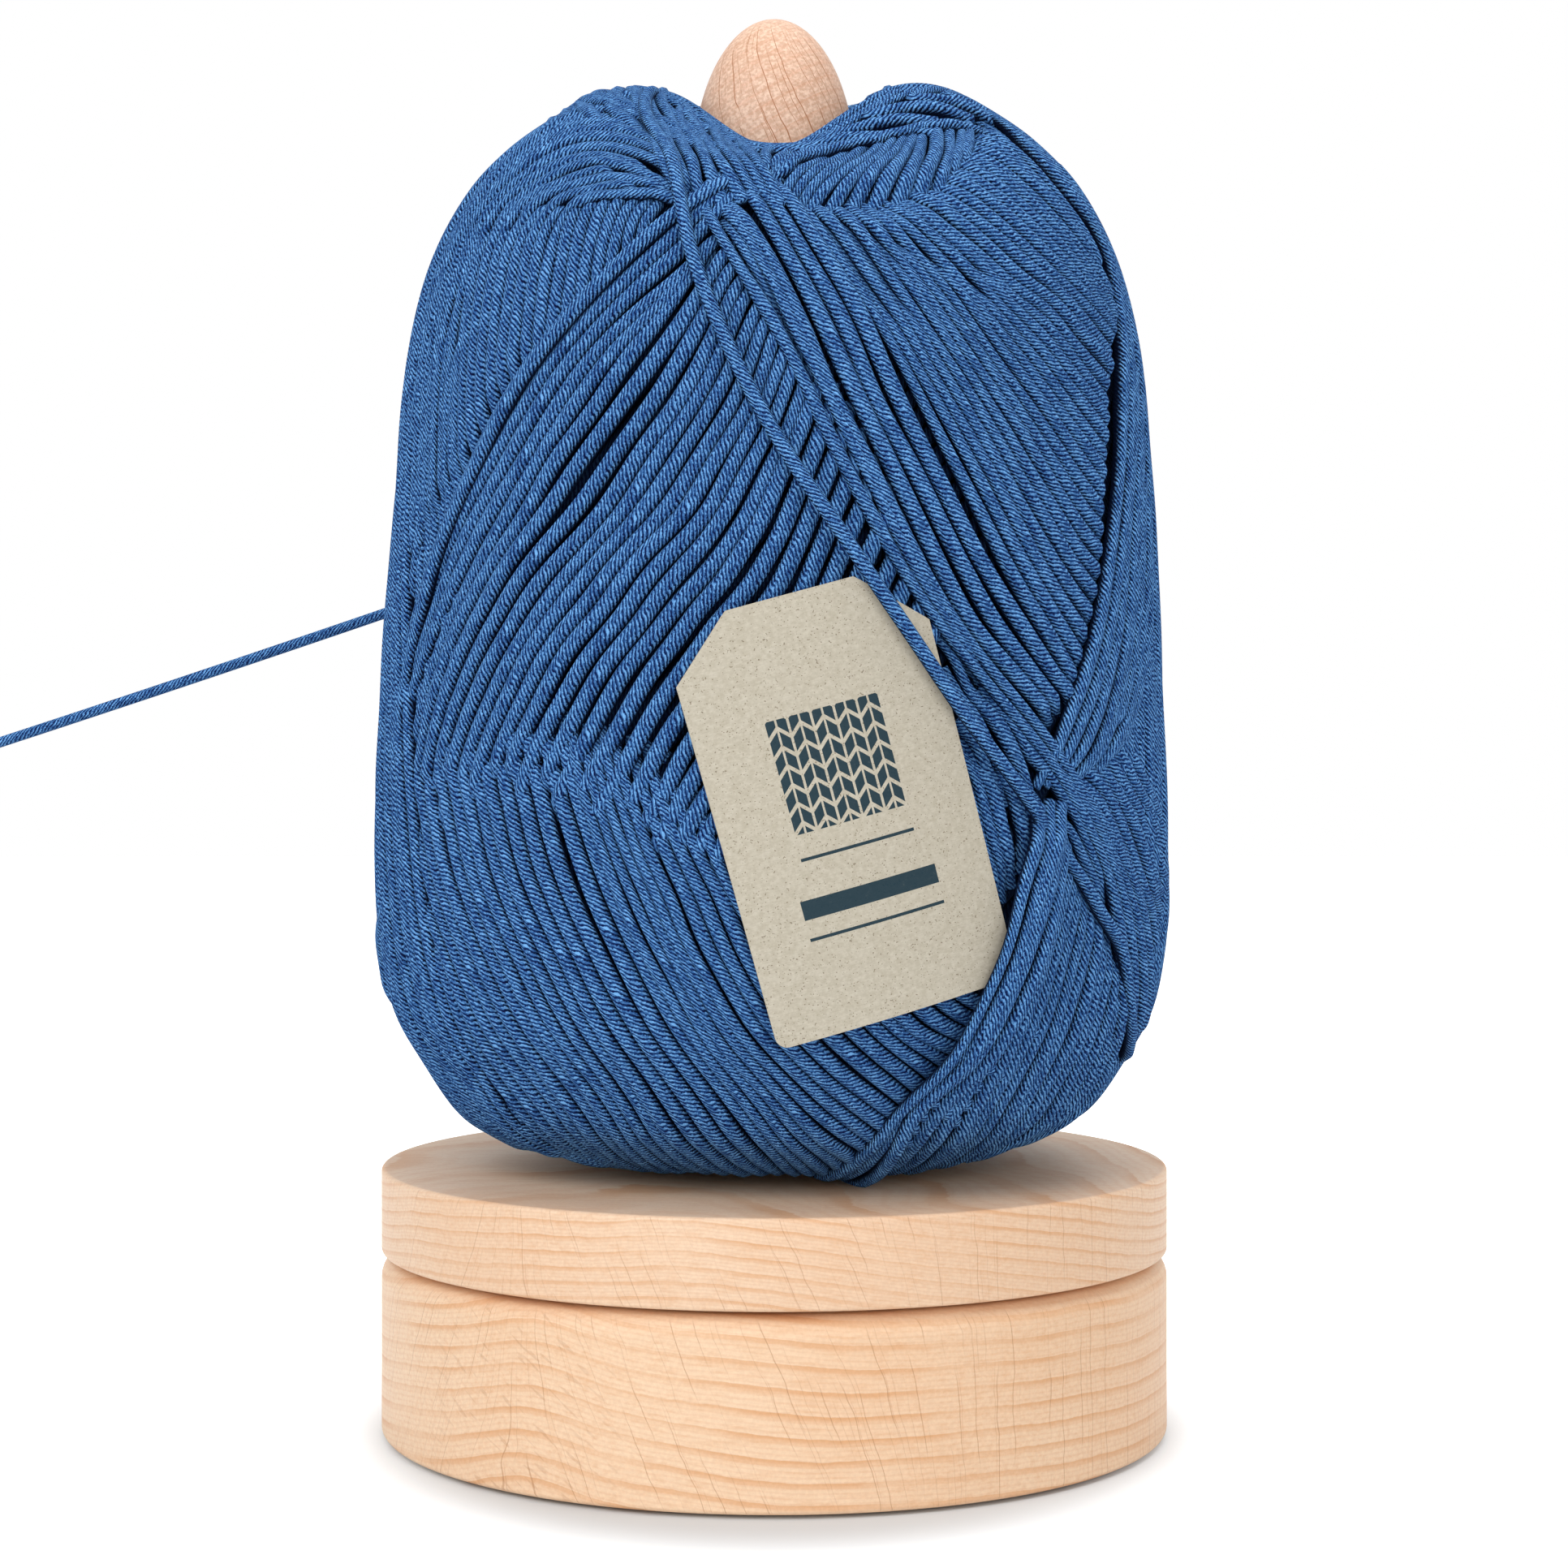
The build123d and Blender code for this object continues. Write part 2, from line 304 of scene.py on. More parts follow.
def wood_flecks(g, place):
    """Short slanted dashes, at the left of the front."""
    x, y, z = g.parts(place)
    stretched = g.vector(x * 330, y * 330, (z + x * 0.8) * 1300)
    left, right = g.smooth(x, -54 * mm, -40 * mm), g.smooth(x, -34 * mm, -12 * mm, 1.0, 0.1)
    return g.smooth(g.noise(stretched, 1.0, 0.0), 0.66, 0.76) * (left * right)


def beech(name, pale, warm, ring_width, slope, middle, radius, bow=0.0, arch=0.0, ring_share=0.7,
          ray_share=1.0, fleck_share=0.0, speckle_share=0.1, pink=0.0):
    """Turned beech: growth rings, thin ray lines across them, flecks and fine pores.

    The shares say how strongly each of these shows, and pink how much the wood is tinted."""
    g = material_graph(name)
    place = g.place()
    x, y, z = g.parts(place)
    ring, fine = growth_rings(g, place, ring_width, slope, bow, arch)
    rays = wood_rays(g, place, middle, radius) * ray_share
    flecks = wood_flecks(g, place) * fleck_share
    grain = g.noise(g.vector(x * 160, y * 1500, z * 1500), 1.0, 3, 0.6)
    speckle = g.noise(place, 1900, 2, 0.6)

    facing_up = g.math("ABSOLUTE", g.parts(g.value("Normal", "ShaderNodeNewGeometry"))[2])
    upright_side = g.smooth(facing_up, 0.5, 0.9, 1.0, 0.0)
    tone = g.mix(ring * ring_share, pale, warm)
    tone = g.mix(g.smooth(fine, -0.2, 1.0, 0.0, 0.16), tone, warm)
    tone = g.mix(g.smooth(g.noise(place, 22), 0.35, 0.7, 0.0, 0.2), tone, warm)
    tone = g.mix(rays * 0.5 * upright_side, tone, wood_dark)
    tone = g.mix(flecks * 0.5 * upright_side, tone, wood_dark)
    tone = g.mix(g.smooth(grain, 0.42, 0.75, 0.0, 0.26), tone, warm)
    tone = g.mix(g.smooth(speckle, 0.35, 0.7, speckle_share, 0.0), tone, wood_dark)
    tone = g.mix(pink, tone, wood_pink)
    normal = g.bump(grain - ring * 0.5 - rays * 0.6, 0.16, 0.15 * mm)
    return g.surface(Base_Color=tone, Roughness=grain * 0.16 + 0.42, Normal=normal, Specular_IOR_Level=0.35)


# Colours of the yarn: painted shade between its plies, on them, painted highlight where fibres
# catch the light, painted shade in the clefts between strands, and of its sheen
yarn_painted_groove_shade = colour(14, 22, 70)
yarn_blue = colour(47, 93, 155)
yarn_painted_highlight = colour(122, 182, 240)
yarn_painted_cleft_shade = colour(2, 5, 26)
yarn_sheen = colour(90, 150, 235)


def plied_yarn(name, level):
    """Soft plied cotton: plies that wind round each strand, with painted shade in their grooves and a
    painted highlight on their crests, fibres that follow them, and painted shade on the sides towards the
    neighbouring strands. level dims the whole, as painted shade for hidden layers."""
    g = material_graph(name)
    along, across, deep = g.parts(g.attribute("ply"))
    patch = g.noise(g.vector(along * 0.3, across, deep))
    turn = g.math("ARCTAN2", deep, across) + along * (2 * pi / (ply_spacing * ply_count))
    fibre_place = g.vector(along * 1.6, g.math("COSINE", turn) * 4.5, g.math("SINE", turn) * 4.5)
    fibre = g.noise(fibre_place, 1.0, 3, 0.7)
    fluff = g.noise(g.vector(along * 4.0, across * 4.0, deep * 4.0), 1.0, 2, 0.6)
    phase = turn * (ply_count / (2 * pi)) + patch * 1.6 + fluff * 0.7
    ridge = g.smooth(g.math("SINE", phase * (2 * pi)), -1.0, 0.6)
    # Painted shade in the ply grooves and painted highlight on the crests, mixed with the fibres' own
    # lighter and darker tone
    light = ridge * 0.62 + g.smooth(fibre, 0.32, 0.68, 0.0, 0.4)
    light = light + g.smooth(fluff, 0.3, 0.7, -0.1, 0.16) + g.smooth(patch, 0.3, 0.7, -0.07, 0.07)
    tone = g.mix(g.smooth(light, 0.08, 0.7), yarn_painted_groove_shade, yarn_blue)
    tone = g.mix(g.smooth(light, 0.62, 1.08), tone, yarn_painted_highlight)
    # Painted shade: sides that face the ball take the cleft colour, with lumpy edges that follow the plies
    lumps = (ridge + fluff - 1.0) * 0.26
    unshaded = g.smooth(g.attribute("unshaded", "Fac") + lumps, 0.5, 0.9, 0.02 * level, level)
    tone = g.mix(unshaded, yarn_painted_cleft_shade, tone)
    return g.surface(
        Base_Color=tone,
        Roughness=fibre * -0.2 + 0.95,
        Normal=g.bump(fibre + fluff + ridge, 0.5, 0.14 * mm),
        Specular_IOR_Level=0.06,
        Sheen_Weight=0.05 * level,
        Sheen_Roughness=0.5,
        Sheen_Tint=yarn_sheen,
    )


def within(g, across, along, centre, half):
    """1 inside a rectangle on the tag and 0 outside it."""
    sideways = g.math("ABSOLUTE", across - centre[0])
    upward = g.math("ABSOLUTE", along - centre[1])
    return g.math("LESS_THAN", sideways, half[0]) * g.math("LESS_THAN", upward, half[1])


# Print on the tag: a knit swatch, and bars under it, as centres and half sizes in mm
swatch = ((0, 5.6), (8.0, 7.8))
bars = [
    ((0, -5.6), (8.0, 0.22)),
    ((0, -12.2), (9.6, 1.3)),
    ((0, -16.2), (9.6, 0.22)),
]
stitch_width = 3.2
stitch_height = 2.6

# Colours of the card, its fibres and flecks, and its ink
card_pale = colour(205, 197, 180)
card_grey = colour(189, 180, 161)
card_fibre = colour(172, 161, 141)
card_fleck = colour(112, 96, 74)
card_ink = colour(20, 51, 64)


def kraft_paper():
    """Grey-brown recycled card with flecks and faint fibres, printed with a knit swatch."""
    g = material_graph("kraft_paper")
    card = g.attribute("card")
    across, along, front = g.parts(card)
    fibres = g.noise(g.vector(across * 0.6, along * 7.0, 0.0), 1.0, 3, 0.6)
    mottle = g.noise(card, 1.6, 4, 0.65)
    flecks = g.smooth(g.noise(card, 4.5, 0.0), 0.735, 0.78)
    tone = g.mix(g.smooth(mottle, 0.3, 0.7), card_pale, card_grey)
    tone = g.mix(g.smooth(fibres, 0.4, 0.75, 0.0, 0.35), tone, card_fibre)
    tone = g.mix(flecks * 0.7, tone, card_fleck)

    # Each stitch of the swatch is two slanted bars that meet in a V
    arm = g.math("ABSOLUTE", g.math("FRACT", across / stitch_width) - 0.5)
    slanted = g.math("FRACT", (along - arm * (stitch_width * 0.95)) / stitch_height)
    stitch = g.math("GREATER_THAN", slanted, 0.26) * g.math("GREATER_THAN", arm, 0.055)
    ink = stitch * g.math("LESS_THAN", arm, 0.455) * within(g, across, along, *swatch)
    for bar in bars:
        ink = g.math("MAXIMUM", ink, within(g, across, along, *bar))
    ink = ink * g.math("GREATER_THAN", front, 0.5) * g.smooth(mottle, 0.2, 0.4, 0.9, 0.97)
    tone = g.mix(ink, tone, card_ink)
    normal = g.bump(mottle + fibres, 0.25, 0.08 * mm)
    return g.surface(Base_Color=tone, Roughness=mottle * 0.1 + 0.8, Normal=normal, Specular_IOR_Level=0.2)


def scaled(tone, share, more=0.0):
    """A colour made darker or lighter."""
    return tuple(min(1, level * share + more) for level in tone[:3]) + (1,)


def machined_metal(name, tone, roughness, turning_marks):
    """Metal with fine turning marks and a slight unevenness."""
    g = material_graph(name)
    x, y, z = g.parts(g.place())
    radius = g.math("SQRT", x * x + y * y)
    marks = g.noise(g.vector(radius * turning_marks, 0.0, z * turning_marks))
    cloud = g.noise(g.place(), 300, 3)
    shade = g.mix(g.smooth(cloud, 0.3, 0.7, 0.0, 0.25), tone, scaled(tone, 0.75))
    normal = g.bump(marks, 0.1, 0.02 * mm)
    return g.surface(Base_Color=shade, Metallic=1.0, Roughness=marks * 0.15 + roughness, Normal=normal)


def moulded(name, tone, roughness, grain_scale):
    """Rubber or moulded plastic: a fine grain and slightly uneven gloss."""
    g = material_graph(name)
    grain = g.noise(g.place(), grain_scale, 3, 0.6)
    cloud = g.noise(g.place(), grain_scale / 8)
    shade = g.mix(g.smooth(cloud, 0.3, 0.7, 0.0, 0.4), tone, scaled(tone, 1.5, 0.01))
    normal = g.bump(grain, 0.2, 0.05 * mm)
    return g.surface(Base_Color=shade, Roughness=grain * 0.15 + roughness, Normal=normal)


# Meshes

def add_piece(name, vertices, faces, material, body, attributes=None):
    """A smooth mesh object that rides on a body, with attributes that its material reads."""
    mesh = bpy.data.meshes.new(name)
    mesh.from_pydata(vertices, [], faces)
    for key, values in (attributes or {}).items():
        values = np.asarray(values, np.float32)
        kind, field = ("FLOAT", "value") if values.ndim == 1 else ("FLOAT_VECTOR", "vector")
        mesh.attributes.new(key, kind, "POINT").data.foreach_set(field, values.ravel())
    mesh.polygons.foreach_set("use_smooth", [True] * len(mesh.polygons))
    mesh.materials.append(material)
    mesh.validate()
    piece = add_object(name, mesh)
    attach(piece, body)
    return piece


def ring_faces(rings, sides):
    """Faces between closed rings of points, the last ring and the first one joined."""
    faces = []
    for ring in range(rings):
        here, above = ring * sides, (ring + 1) % rings * sides
        for side in range(sides):
            ahead = (side + 1) % sides
            faces.append((here + side, here + ahead, above + ahead, above + side))
    return faces


def arc(centre, radius, start, turn, steps=8):
    """Points of an arc in (radius, height), angles in degrees."""
    angles = [radians(start + turn * step / steps) for step in range(steps + 1)]
    return [(centre[0] + radius * cos(a), centre[1] + radius * sin(a)) for a in angles]


def lathe(name, outline, material, body, segments=256):
    """Turn a closed outline of (radius, height) points about the spindle's axis."""
    vertices = []
    for radius, height in outline:
        for step in range(segments):
            turn = 2 * pi * step / segments
            vertices.append((radius * cos(turn), radius * sin(turn), height))
    piece = add_piece(name, vertices, ring_faces(len(outline), segments), material, body)
    piece.data.set_sharp_from_angle(angle=radians(crisp_angle))
    return piece


def rim(low, high, bottom_round, top_round):
    """A disc's outer rim with both edges rounded."""
    lower = arc((disc_radius - bottom_round, low + bottom_round), bottom_round, -90, 90)
    return lower + arc((disc_radius - top_round, high - top_round), top_round, 0, 90)


def make_base():
    """Base disc with the bearing's pocket above and the nut's counterbore below."""
    bearing_low, bearing_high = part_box("bearing_outer_ring")
    pocket_radius = bearing_high.x + 0.02 * mm
    web_hole_radius = 6.6 * mm
    web_bottom = bearing_low.z - 3 * mm
    counterbore_radius = 9 * mm
    outline = [(counterbore_radius, base_low.z)] + rim(base_low.z, base_high.z, 0.8 * mm, 3.2 * mm)
    outline += [
        (pocket_radius, base_high.z),
        (pocket_radius, bearing_low.z),
        (web_hole_radius, bearing_low.z),
        (web_hole_radius, web_bottom),
        (counterbore_radius, web_bottom),
    ]
    wood = beech(
        "beech_base", pale=colour(249, 217, 184), warm=colour(224, 162, 108), ring_width=3.1 * mm,
        slope=0.02, middle=(base_low.z + base_high.z) / 2, radius=disc_radius, arch=6 * mm,
        ray_share=0.9, fleck_share=0.45,
    )
    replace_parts(lathe("base_wood", outline, wood, "base"), "base_disc")


def make_plate():
    """Rotating plate with the spindle's socket, the magnet's pocket and the countersink."""
    magnet_low, magnet_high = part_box("plate_magnet")
    _, bolt_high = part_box("axle_bolt")
    socket_radius = spindle_radius + 0.1 * mm
    pocket_radius = magnet_high.x + 0.05 * mm
    seat_radius = bolt_high.x + 0.05 * mm
    hole_radius = 3.1 * mm
    head_height = 3.3 * mm
    outline = [(hole_radius, plate_low.z)] + rim(plate_low.z, plate_high.z, 0.5 * mm, 0.7 * mm)
    outline += [
        (socket_radius, plate_high.z),
        (socket_radius, magnet_high.z),
        (pocket_radius, magnet_high.z),
        (pocket_radius, magnet_low.z),
        (seat_radius, magnet_low.z),
        (hole_radius, magnet_low.z - head_height),
    ]
    wood = beech(
        "beech_plate", pale=colour(247, 216, 186), warm=colour(224, 164, 112), ring_width=2.0 * mm,
        slope=-0.06, middle=(plate_low.z + plate_high.z) / 2, radius=disc_radius, bow=1.6,
        ray_share=0.7,
    )
    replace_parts(lathe("plate_wood", outline, wood, "turntable"), "rotating_plate")


def make_spindle():
    """Dowel with an elliptical nose, and a pocket for its magnet."""
    magnet_low, magnet_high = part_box("spindle_magnet")
    pocket_radius = magnet_high.x + 0.05 * mm
    foot_chamfer = 0.8 * mm
    nose_length = 23 * mm
    nose_base = spindle_high.z - nose_length
    tip_radius = 0.05 * mm
    outline = [
        (tip_radius, magnet_high.z),
        (pocket_radius, magnet_high.z),
        (pocket_radius, magnet_low.z),
        (spindle_radius - foot_chamfer, magnet_low.z),
        (spindle_radius, magnet_low.z + foot_chamfer),
    ]
    for across_share, up_share in arc((0, 0), 1, 0, 89.8, 32):
        outline.append((spindle_radius * across_share, nose_base + nose_length * up_share))
    outline.append((tip_radius, spindle_high.z))
    wood = beech(
        "beech_dowel", pale=colour(250, 222, 198), warm=colour(222, 158, 120), ring_width=2.6 * mm,
        slope=0.6, middle=nose_base, radius=spindle_radius, ring_share=0.35, ray_share=3.8,
        speckle_share=0.45, pink=0.1,
    )
    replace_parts(lathe("spindle_wood", outline, wood, "dowel", 96), "spindle")


# Tag: its cut, its place and its bend, as in the part's source, in mm and degrees
tag_width = 35.1
tag_length = 58.4
tag_thickness = 0.4
tag_chamfer_width = 8.7
tag_chamfer_length = 8.2
tag_corner_round = 1.6
tag_tilt = 15.3
tag_azimuth = 9.2
tag_height = 95.8
tag_bend_radius = 60.8
tag_mesh_columns = 41
tag_mesh_rows = 49

# Form of the ball: (radius, height, how far the front of the crown sinks), in mm
ball_form = [
    (14.0, 42.6, 0),
    (22.0, 41.9, 0),
    (30.0, 41.6, 0),
    (37.0, 43.2, 0),
    (43.5, 46.1, 0),
    (48.8, 49.8, 0),
    (53.8, 57.2, 0),
    (57.7, 64.6, 0),
    (59.6, 74.0, 0),
    (60.1, 84.0, 0),
    (60.0, 98.0, 0),
    (59.2, 112.0, 0),
    (58.3, 128.0, 0),
    (57.0, 145.0, 0),
    (55.6, 160.5, 0),
    (52.3, 175.5, 1.0),
    (46.8, 186.8, 3.5),
    (40.6, 194.0, 7.5),
    (33.8, 199.2, 10.5),
    (27.8, 202.6, 12.5),
    (22.5, 203.4, 12.5),
    (17.5, 201.0, 9.0),
    (14.6, 195.0, 2.5),
]
notch_half_angle = radians(38)

# Hollow between two strands at the front: its ends as pixels of the photograph
hollow_ends = ((815, 445), (692, 612))
hollow_sink = 1.3 * mm
hollow_half_width = 1.9 * mm

# Points along every guide line, and how many of them its smoothing reaches to each side
guide_points = 60
guide_smoothing = 7

# Two guides lie as far apart as this percentile of their distances says
guide_percentile = 85

# A pixel just beside the ball stands for the form's nearest place to its ray. The places
# tried on the ray lie this far past the axis's distance from the camera.
past_axis = [step * 2 * mm for step in range(-24, 12)]


def through(points, steps):
    """A smooth line through points, as Catmull-Rom pieces of a few steps each."""
    points = np.asarray(points, float)
    padded = np.vstack([2 * points[0] - points[1], points, 2 * points[-1] - points[-2]])
    made = []
    for p0, p1, p2, p3 in zip(padded, padded[1:], padded[2:], padded[3:]):
        for step in range(steps):
            t = step / steps
            square = (2 * p0 - 5 * p1 + 4 * p2 - p3) * t ** 2
            cube = (3 * p1 - p0 - 3 * p2 + p3) * t ** 3
            made.append(0.5 * (2 * p1 + (p2 - p0) * t + square + cube))
    made.append(points[-1])
    return np.array(made)


def lengths(points):
    """Running length along a line of points."""
    steps = np.linalg.norm(np.diff(points, axis=0), axis=1)
    return np.concatenate([[0], np.cumsum(steps)])


def unit(vectors):
    return vectors / np.linalg.norm(vectors, axis=1, keepdims=True)


form_line = through(ball_form, steps=6) * mm
form_run = lengths(form_line[:, :2])
form_length = form_run[-1]


def form_point(azimuth, run):
    """Points of the ball's form: azimuth from the front towards +X, run up its outline."""
    azimuth, run = np.asarray(azimuth, float), np.asarray(run, float)
    radius, height, sink = (np.interp(run, form_run, column) for column in form_line.T)
    from_front = (azimuth + pi) % (2 * pi) - pi
    height = height - sink * np.exp(-((from_front / notch_half_angle) ** 2))
    return np.stack([radius * np.sin(azimuth), -radius * np.cos(azimuth), height], -1)


def radius_at(run):
    return np.interp(run, form_run, form_line[:, 0])


def form_normal(azimuth, run):
    """Outward normals of the ball's form."""
    turn, rise = 0.01, 0.4 * mm
    low, high = np.clip(run - rise, 0, form_length), np.clip(run + rise, 0, form_length)
    sideways = form_point(azimuth + turn, run) - form_point(azimuth - turn, run)
    upwards = form_point(azimuth, high) - form_point(azimuth, low)
    normal = np.cross(sideways, upwards)
    return normal / np.linalg.norm(normal, axis=-1, keepdims=True)


def form_grid(columns, rows, inset=0.0):
    """Vertices and faces of the ball's form, closed at its hole."""
    azimuths, runs = np.meshgrid(np.arange(columns) * 2 * pi / columns, np.linspace(0, form_length, rows))
    points = form_point(azimuths, runs) - inset * form_normal(azimuths, runs)
    return points.reshape(-1, 3).tolist(), ring_faces(rows, columns)


form_tree = BVHTree.FromPolygons(*form_grid(columns=144, rows=120))


def on_form(column, row, offset=0.0):
    """(azimuth, run) of the place on the ball's form whose point at an offset along the
    normal is the one that a pixel of the photograph shows."""
    ray = pixel_ray(column, row)
    place = None
    normal = Vector((0, 0, 0))
    for _ in range(3):
        hit, hit_normal, _, _ = form_tree.ray_cast(camera_place - normal * offset, ray)
        if hit is None:
            break
        place, normal = hit, hit_normal
    if place is None:
        tries = [camera_place + ray * (camera_distance + past) for past in past_axis]
        place = min((form_tree.find_nearest(point) for point in tries), key=lambda found: found[3])[0]
    azimuth = atan2(place.x, -place.y)
    ring = form_point(np.full(len(form_run), azimuth), form_run)
    return azimuth, form_run[np.argmin(np.linalg.norm(ring - np.array(place), axis=1))]


def even(path, count=guide_points):
    """The same line with evenly spaced points, by its length on the form."""
    run = lengths(form_point(*path.T))
    at = np.linspace(0, run[-1], count)
    return np.stack([np.interp(at, run, column) for column in path.T], -1)


def guide(points, from_pixels=True, offset=0.0):
    """A guide line on the form, from photo pixels or from (azimuth in degrees, share of run)."""
    if from_pixels:
        places = [on_form(*point, offset) for point in points]
    else:
        places = [(radians(azimuth), share * form_length) for azimuth, share in points]
    places = np.array(places)
    places[:, 0] = np.unwrap(places[:, 0])
    window = np.hanning(2 * guide_smoothing + 1)
    sides = ((guide_smoothing, guide_smoothing), (0, 0))
    padded = np.pad(even(through(places, steps=8)), sides, "reflect", reflect_type="odd")
    return np.stack([np.convolve(line, window / window.sum(), "valid") for line in padded.T], -1)


def run_on(path, reach):
    """The same line, run on past its start and its end by a distance."""
    radius = radius_at(path[:, 1])
    for end, beside, distance in ((0, 3, reach[0]), (-1, -4, reach[1])):
        if distance:
            step = path[end] - path[beside]
            length = np.hypot(step[0] * radius[end], step[1])
            more = path[end] + step * np.linspace(0, distance / length, 7)[1:, None]
            path = np.vstack([more[::-1], path]) if end == 0 else np.vstack([path, more])
    path[:, 1] = np.clip(path[:, 1], 0, form_length)
    return even(path)


def spacing_to(path, other):
    """How far another path lies from each point of a path, square to it."""
    places, others = form_point(*path.T), form_point(*other.T)
    steps = others[None] - places[:, None]
    nearest = np.linalg.norm(steps, axis=2).argmin(axis=1)
    step = steps[np.arange(len(path)), nearest]
    tangent = unit(np.gradient(places, axis=0))
    return np.linalg.norm(step - tangent * np.sum(step * tangent, axis=1, keepdims=True), axis=1)


def fill(guides, spacing):
    """Paths that run side by side from the first guide to the last, about a spacing apart,
    each with its real spacing and with its rank: where paths crowd, the lowest ranks dive."""
    paths = [guides[0]]
    for first, second in zip(guides, guides[1:]):
        apart = float(np.percentile(spacing_to(first, second), guide_percentile))
        count = max(1, round(apart / spacing))
        paths += [first + (second - first) * (step + 1) / count for step in range(count)]
    filled = []
    for index, path in enumerate(paths):
        neighbours = paths[max(0, index - 1):index] + paths[index + 1:index + 2]
        beside = [spacing_to(path, other) for other in neighbours]
        room = np.mean(beside, axis=0) if beside else np.full(len(path), spacing)
        outer = index in (0, len(paths) - 1)
        rank = outer_rank if outer else (index & -index).bit_length() - 1
        filled.append((path, room, rank))
    return filled


def wander(count, waves):
    """A smooth random line from about -1 to 1."""
    at = np.linspace(0, 1, count)
    made = np.zeros(count)
    for wave in range(1, waves + 1):
        made += random.normal() * np.sin(2 * pi * (wave * at + random.random())) / wave
    return made / 2


class Band:
    """Strands that lie side by side: see the note on the winding for its values, in mm."""

    def __init__(self, guides, lift, dips, reach=(0, 0), ragged=(0, 0), ease=(7, 7), spacing=2.2,
                 fullness=0.5, over_tag=False):
        self.guides = guides
        self.lift = lift * mm
        self.dips, self.reach, self.ragged, self.ease = np.array([dips, reach, ragged, ease]) * mm
        self.spacing = spacing * mm
        self.fullness = fullness
        self.over_tag = over_tag


class Strand:
    """One wound strand: its path on the form, and the band that it belongs to."""

    def __init__(self, path, band, turn=0.0, room=None, rank=outer_rank):
        self.path = path + np.array([turn, 0.0])
        self.band = band
        self.room = np.full(len(path), band.spacing) if room is None else room
        self.rank = rank
        self.lift = band.lift + float(np.clip(random.normal(), -1.5, 1.5)) * lift_spread
        self.over_tag = band.over_tag and turn == 0

    def centres(self):
        """Centre points a step apart, the form's normals there and the strand's radii."""
        total = lengths(form_point(*self.path.T))[-1]
        count = max(8, int(total / yarn_step))
        path = even(self.path, count)
        waves = max(2, int(total / stray_stretch))
        path[:, 0] += wander(count, waves) * stray_along_form / radius_at(path[:, 1])
        path[:, 1] = np.clip(path[:, 1] + wander(count, waves) * stray_along_form, 0, form_length)
        places, normals = form_point(*path.T), form_normal(*path.T)
        run = lengths(places)

        room = np.interp(np.linspace(0, 1, count), np.linspace(0, 1, len(self.room)), self.room)
        hidden = np.zeros(count)
        for rank in range(dive_ranks):
            crowded = np.clip((least_room - room) / dive_onset, 0, 1)
            if rank == self.rank:
                hidden = crowded
            room = room * (1 + crowded)
        radii = np.clip(room * self.band.fullness, least_yarn_radius, yarn_radius)
        lift = self.lift + wander(count, waves) * stray_in_height
        lift = lift - hidden * dive_depth - hollow_depth(places)
        for distance, dip, ease in zip((run, run[-1] - run), self.band.dips, self.band.ease):
            share = np.clip(distance / ease, 0, 1)
            lift = lift - dip * (1 - share * share * (3 - 2 * share))
        centres = places + normals * (lift - radii)[:, None]
        if self.over_tag:
            centres += normals * clear_of_tag(centres)[:, None]
        return centres, normals, radii


def hollow_depth(places):
    """How far strands sink at each place into the long narrow hollow at the front."""
    start, end = (form_point(*on_form(*pixel)) for pixel in hollow_ends)
    half = np.linalg.norm(end - start) / 2
    direction = (end - start) / (2 * half)
    away = places - (start + end) / 2
    along = away @ direction
    across = np.linalg.norm(away - along[:, None] * direction, axis=1)
    return hollow_sink * np.exp(-((along / half) ** 4) - (across / hollow_half_width) ** 2)


def clear_of_tag(centres):
    """How far each centre has to move out for the strand to pass over the tag."""
    azimuth, tilt = radians(tag_azimuth), radians(tag_tilt)
    margin = 1.2 * mm
    reach = 15
    sideways = centres[:, 0] * cos(azimuth) + centres[:, 1] * sin(azimuth)
    upward = centres[:, 2] - tag_height * mm
    across = sideways * cos(tilt) + upward * sin(tilt)
    along = upward * cos(tilt) - sideways * sin(tilt)
    inside = (abs(across) < tag_width / 2 * mm + margin) & (abs(along) < tag_length / 2 * mm + margin)
    cut = abs(across) + along > (tag_width / 2 + tag_length / 2 - tag_chamfer_width / 2) * mm + margin
    needed = (tag_bend_radius + tag_thickness) * mm + yarn_radius - np.hypot(centres[:, 0], centres[:, 1])
    push = np.where(inside & ~cut & (centres[:, 1] < 0), np.maximum(needed, 0), 0)
    wide = np.array([push[max(0, i - reach):i + reach + 1].max() for i in range(len(push))])
    window = np.hanning(2 * reach + 1)
    return np.convolve(np.pad(wide, reach, "edge"), window / window.sum(), "valid")


def tube(centres, normals, radii, sides=yarn_sides, packed=True):
    """A strand's skin, and how far each point faces outwards: 1 outwards and 0 towards the ball, where the
    yarn's material paints shade.
    """
    count = len(centres)
    tangents = unit(np.gradient(centres, axis=0))
    out = unit(normals - tangents * np.sum(normals * tangents, axis=1, keepdims=True))
    side = np.cross(tangents, out)
    around = np.arange(sides) * 2 * pi / sides
    section = np.stack([np.cos(around), np.sin(around)], -1)
    reach = np.broadcast_to(radii, (count,))[:, None, None]
    points = centres[:, None] + (out[:, None] * section[:, :1] + side[:, None] * section[:, 1:]) * reach
    ply = np.zeros((count, sides, 3))
    ply[..., 0] = (lengths(centres) / mm)[:, None]
    ply[..., 1:] = section
    faces = ring_faces(count, sides)[:-sides]
    faces += [tuple(range(sides))[::-1], tuple(range((count - 1) * sides, count * sides))]
    unshaded = np.tile((np.cos(around) + 1) / 2, count) if packed else np.ones(count * sides)
    return points.reshape(-1, 3), faces, ply.reshape(-1, 3), unshaded


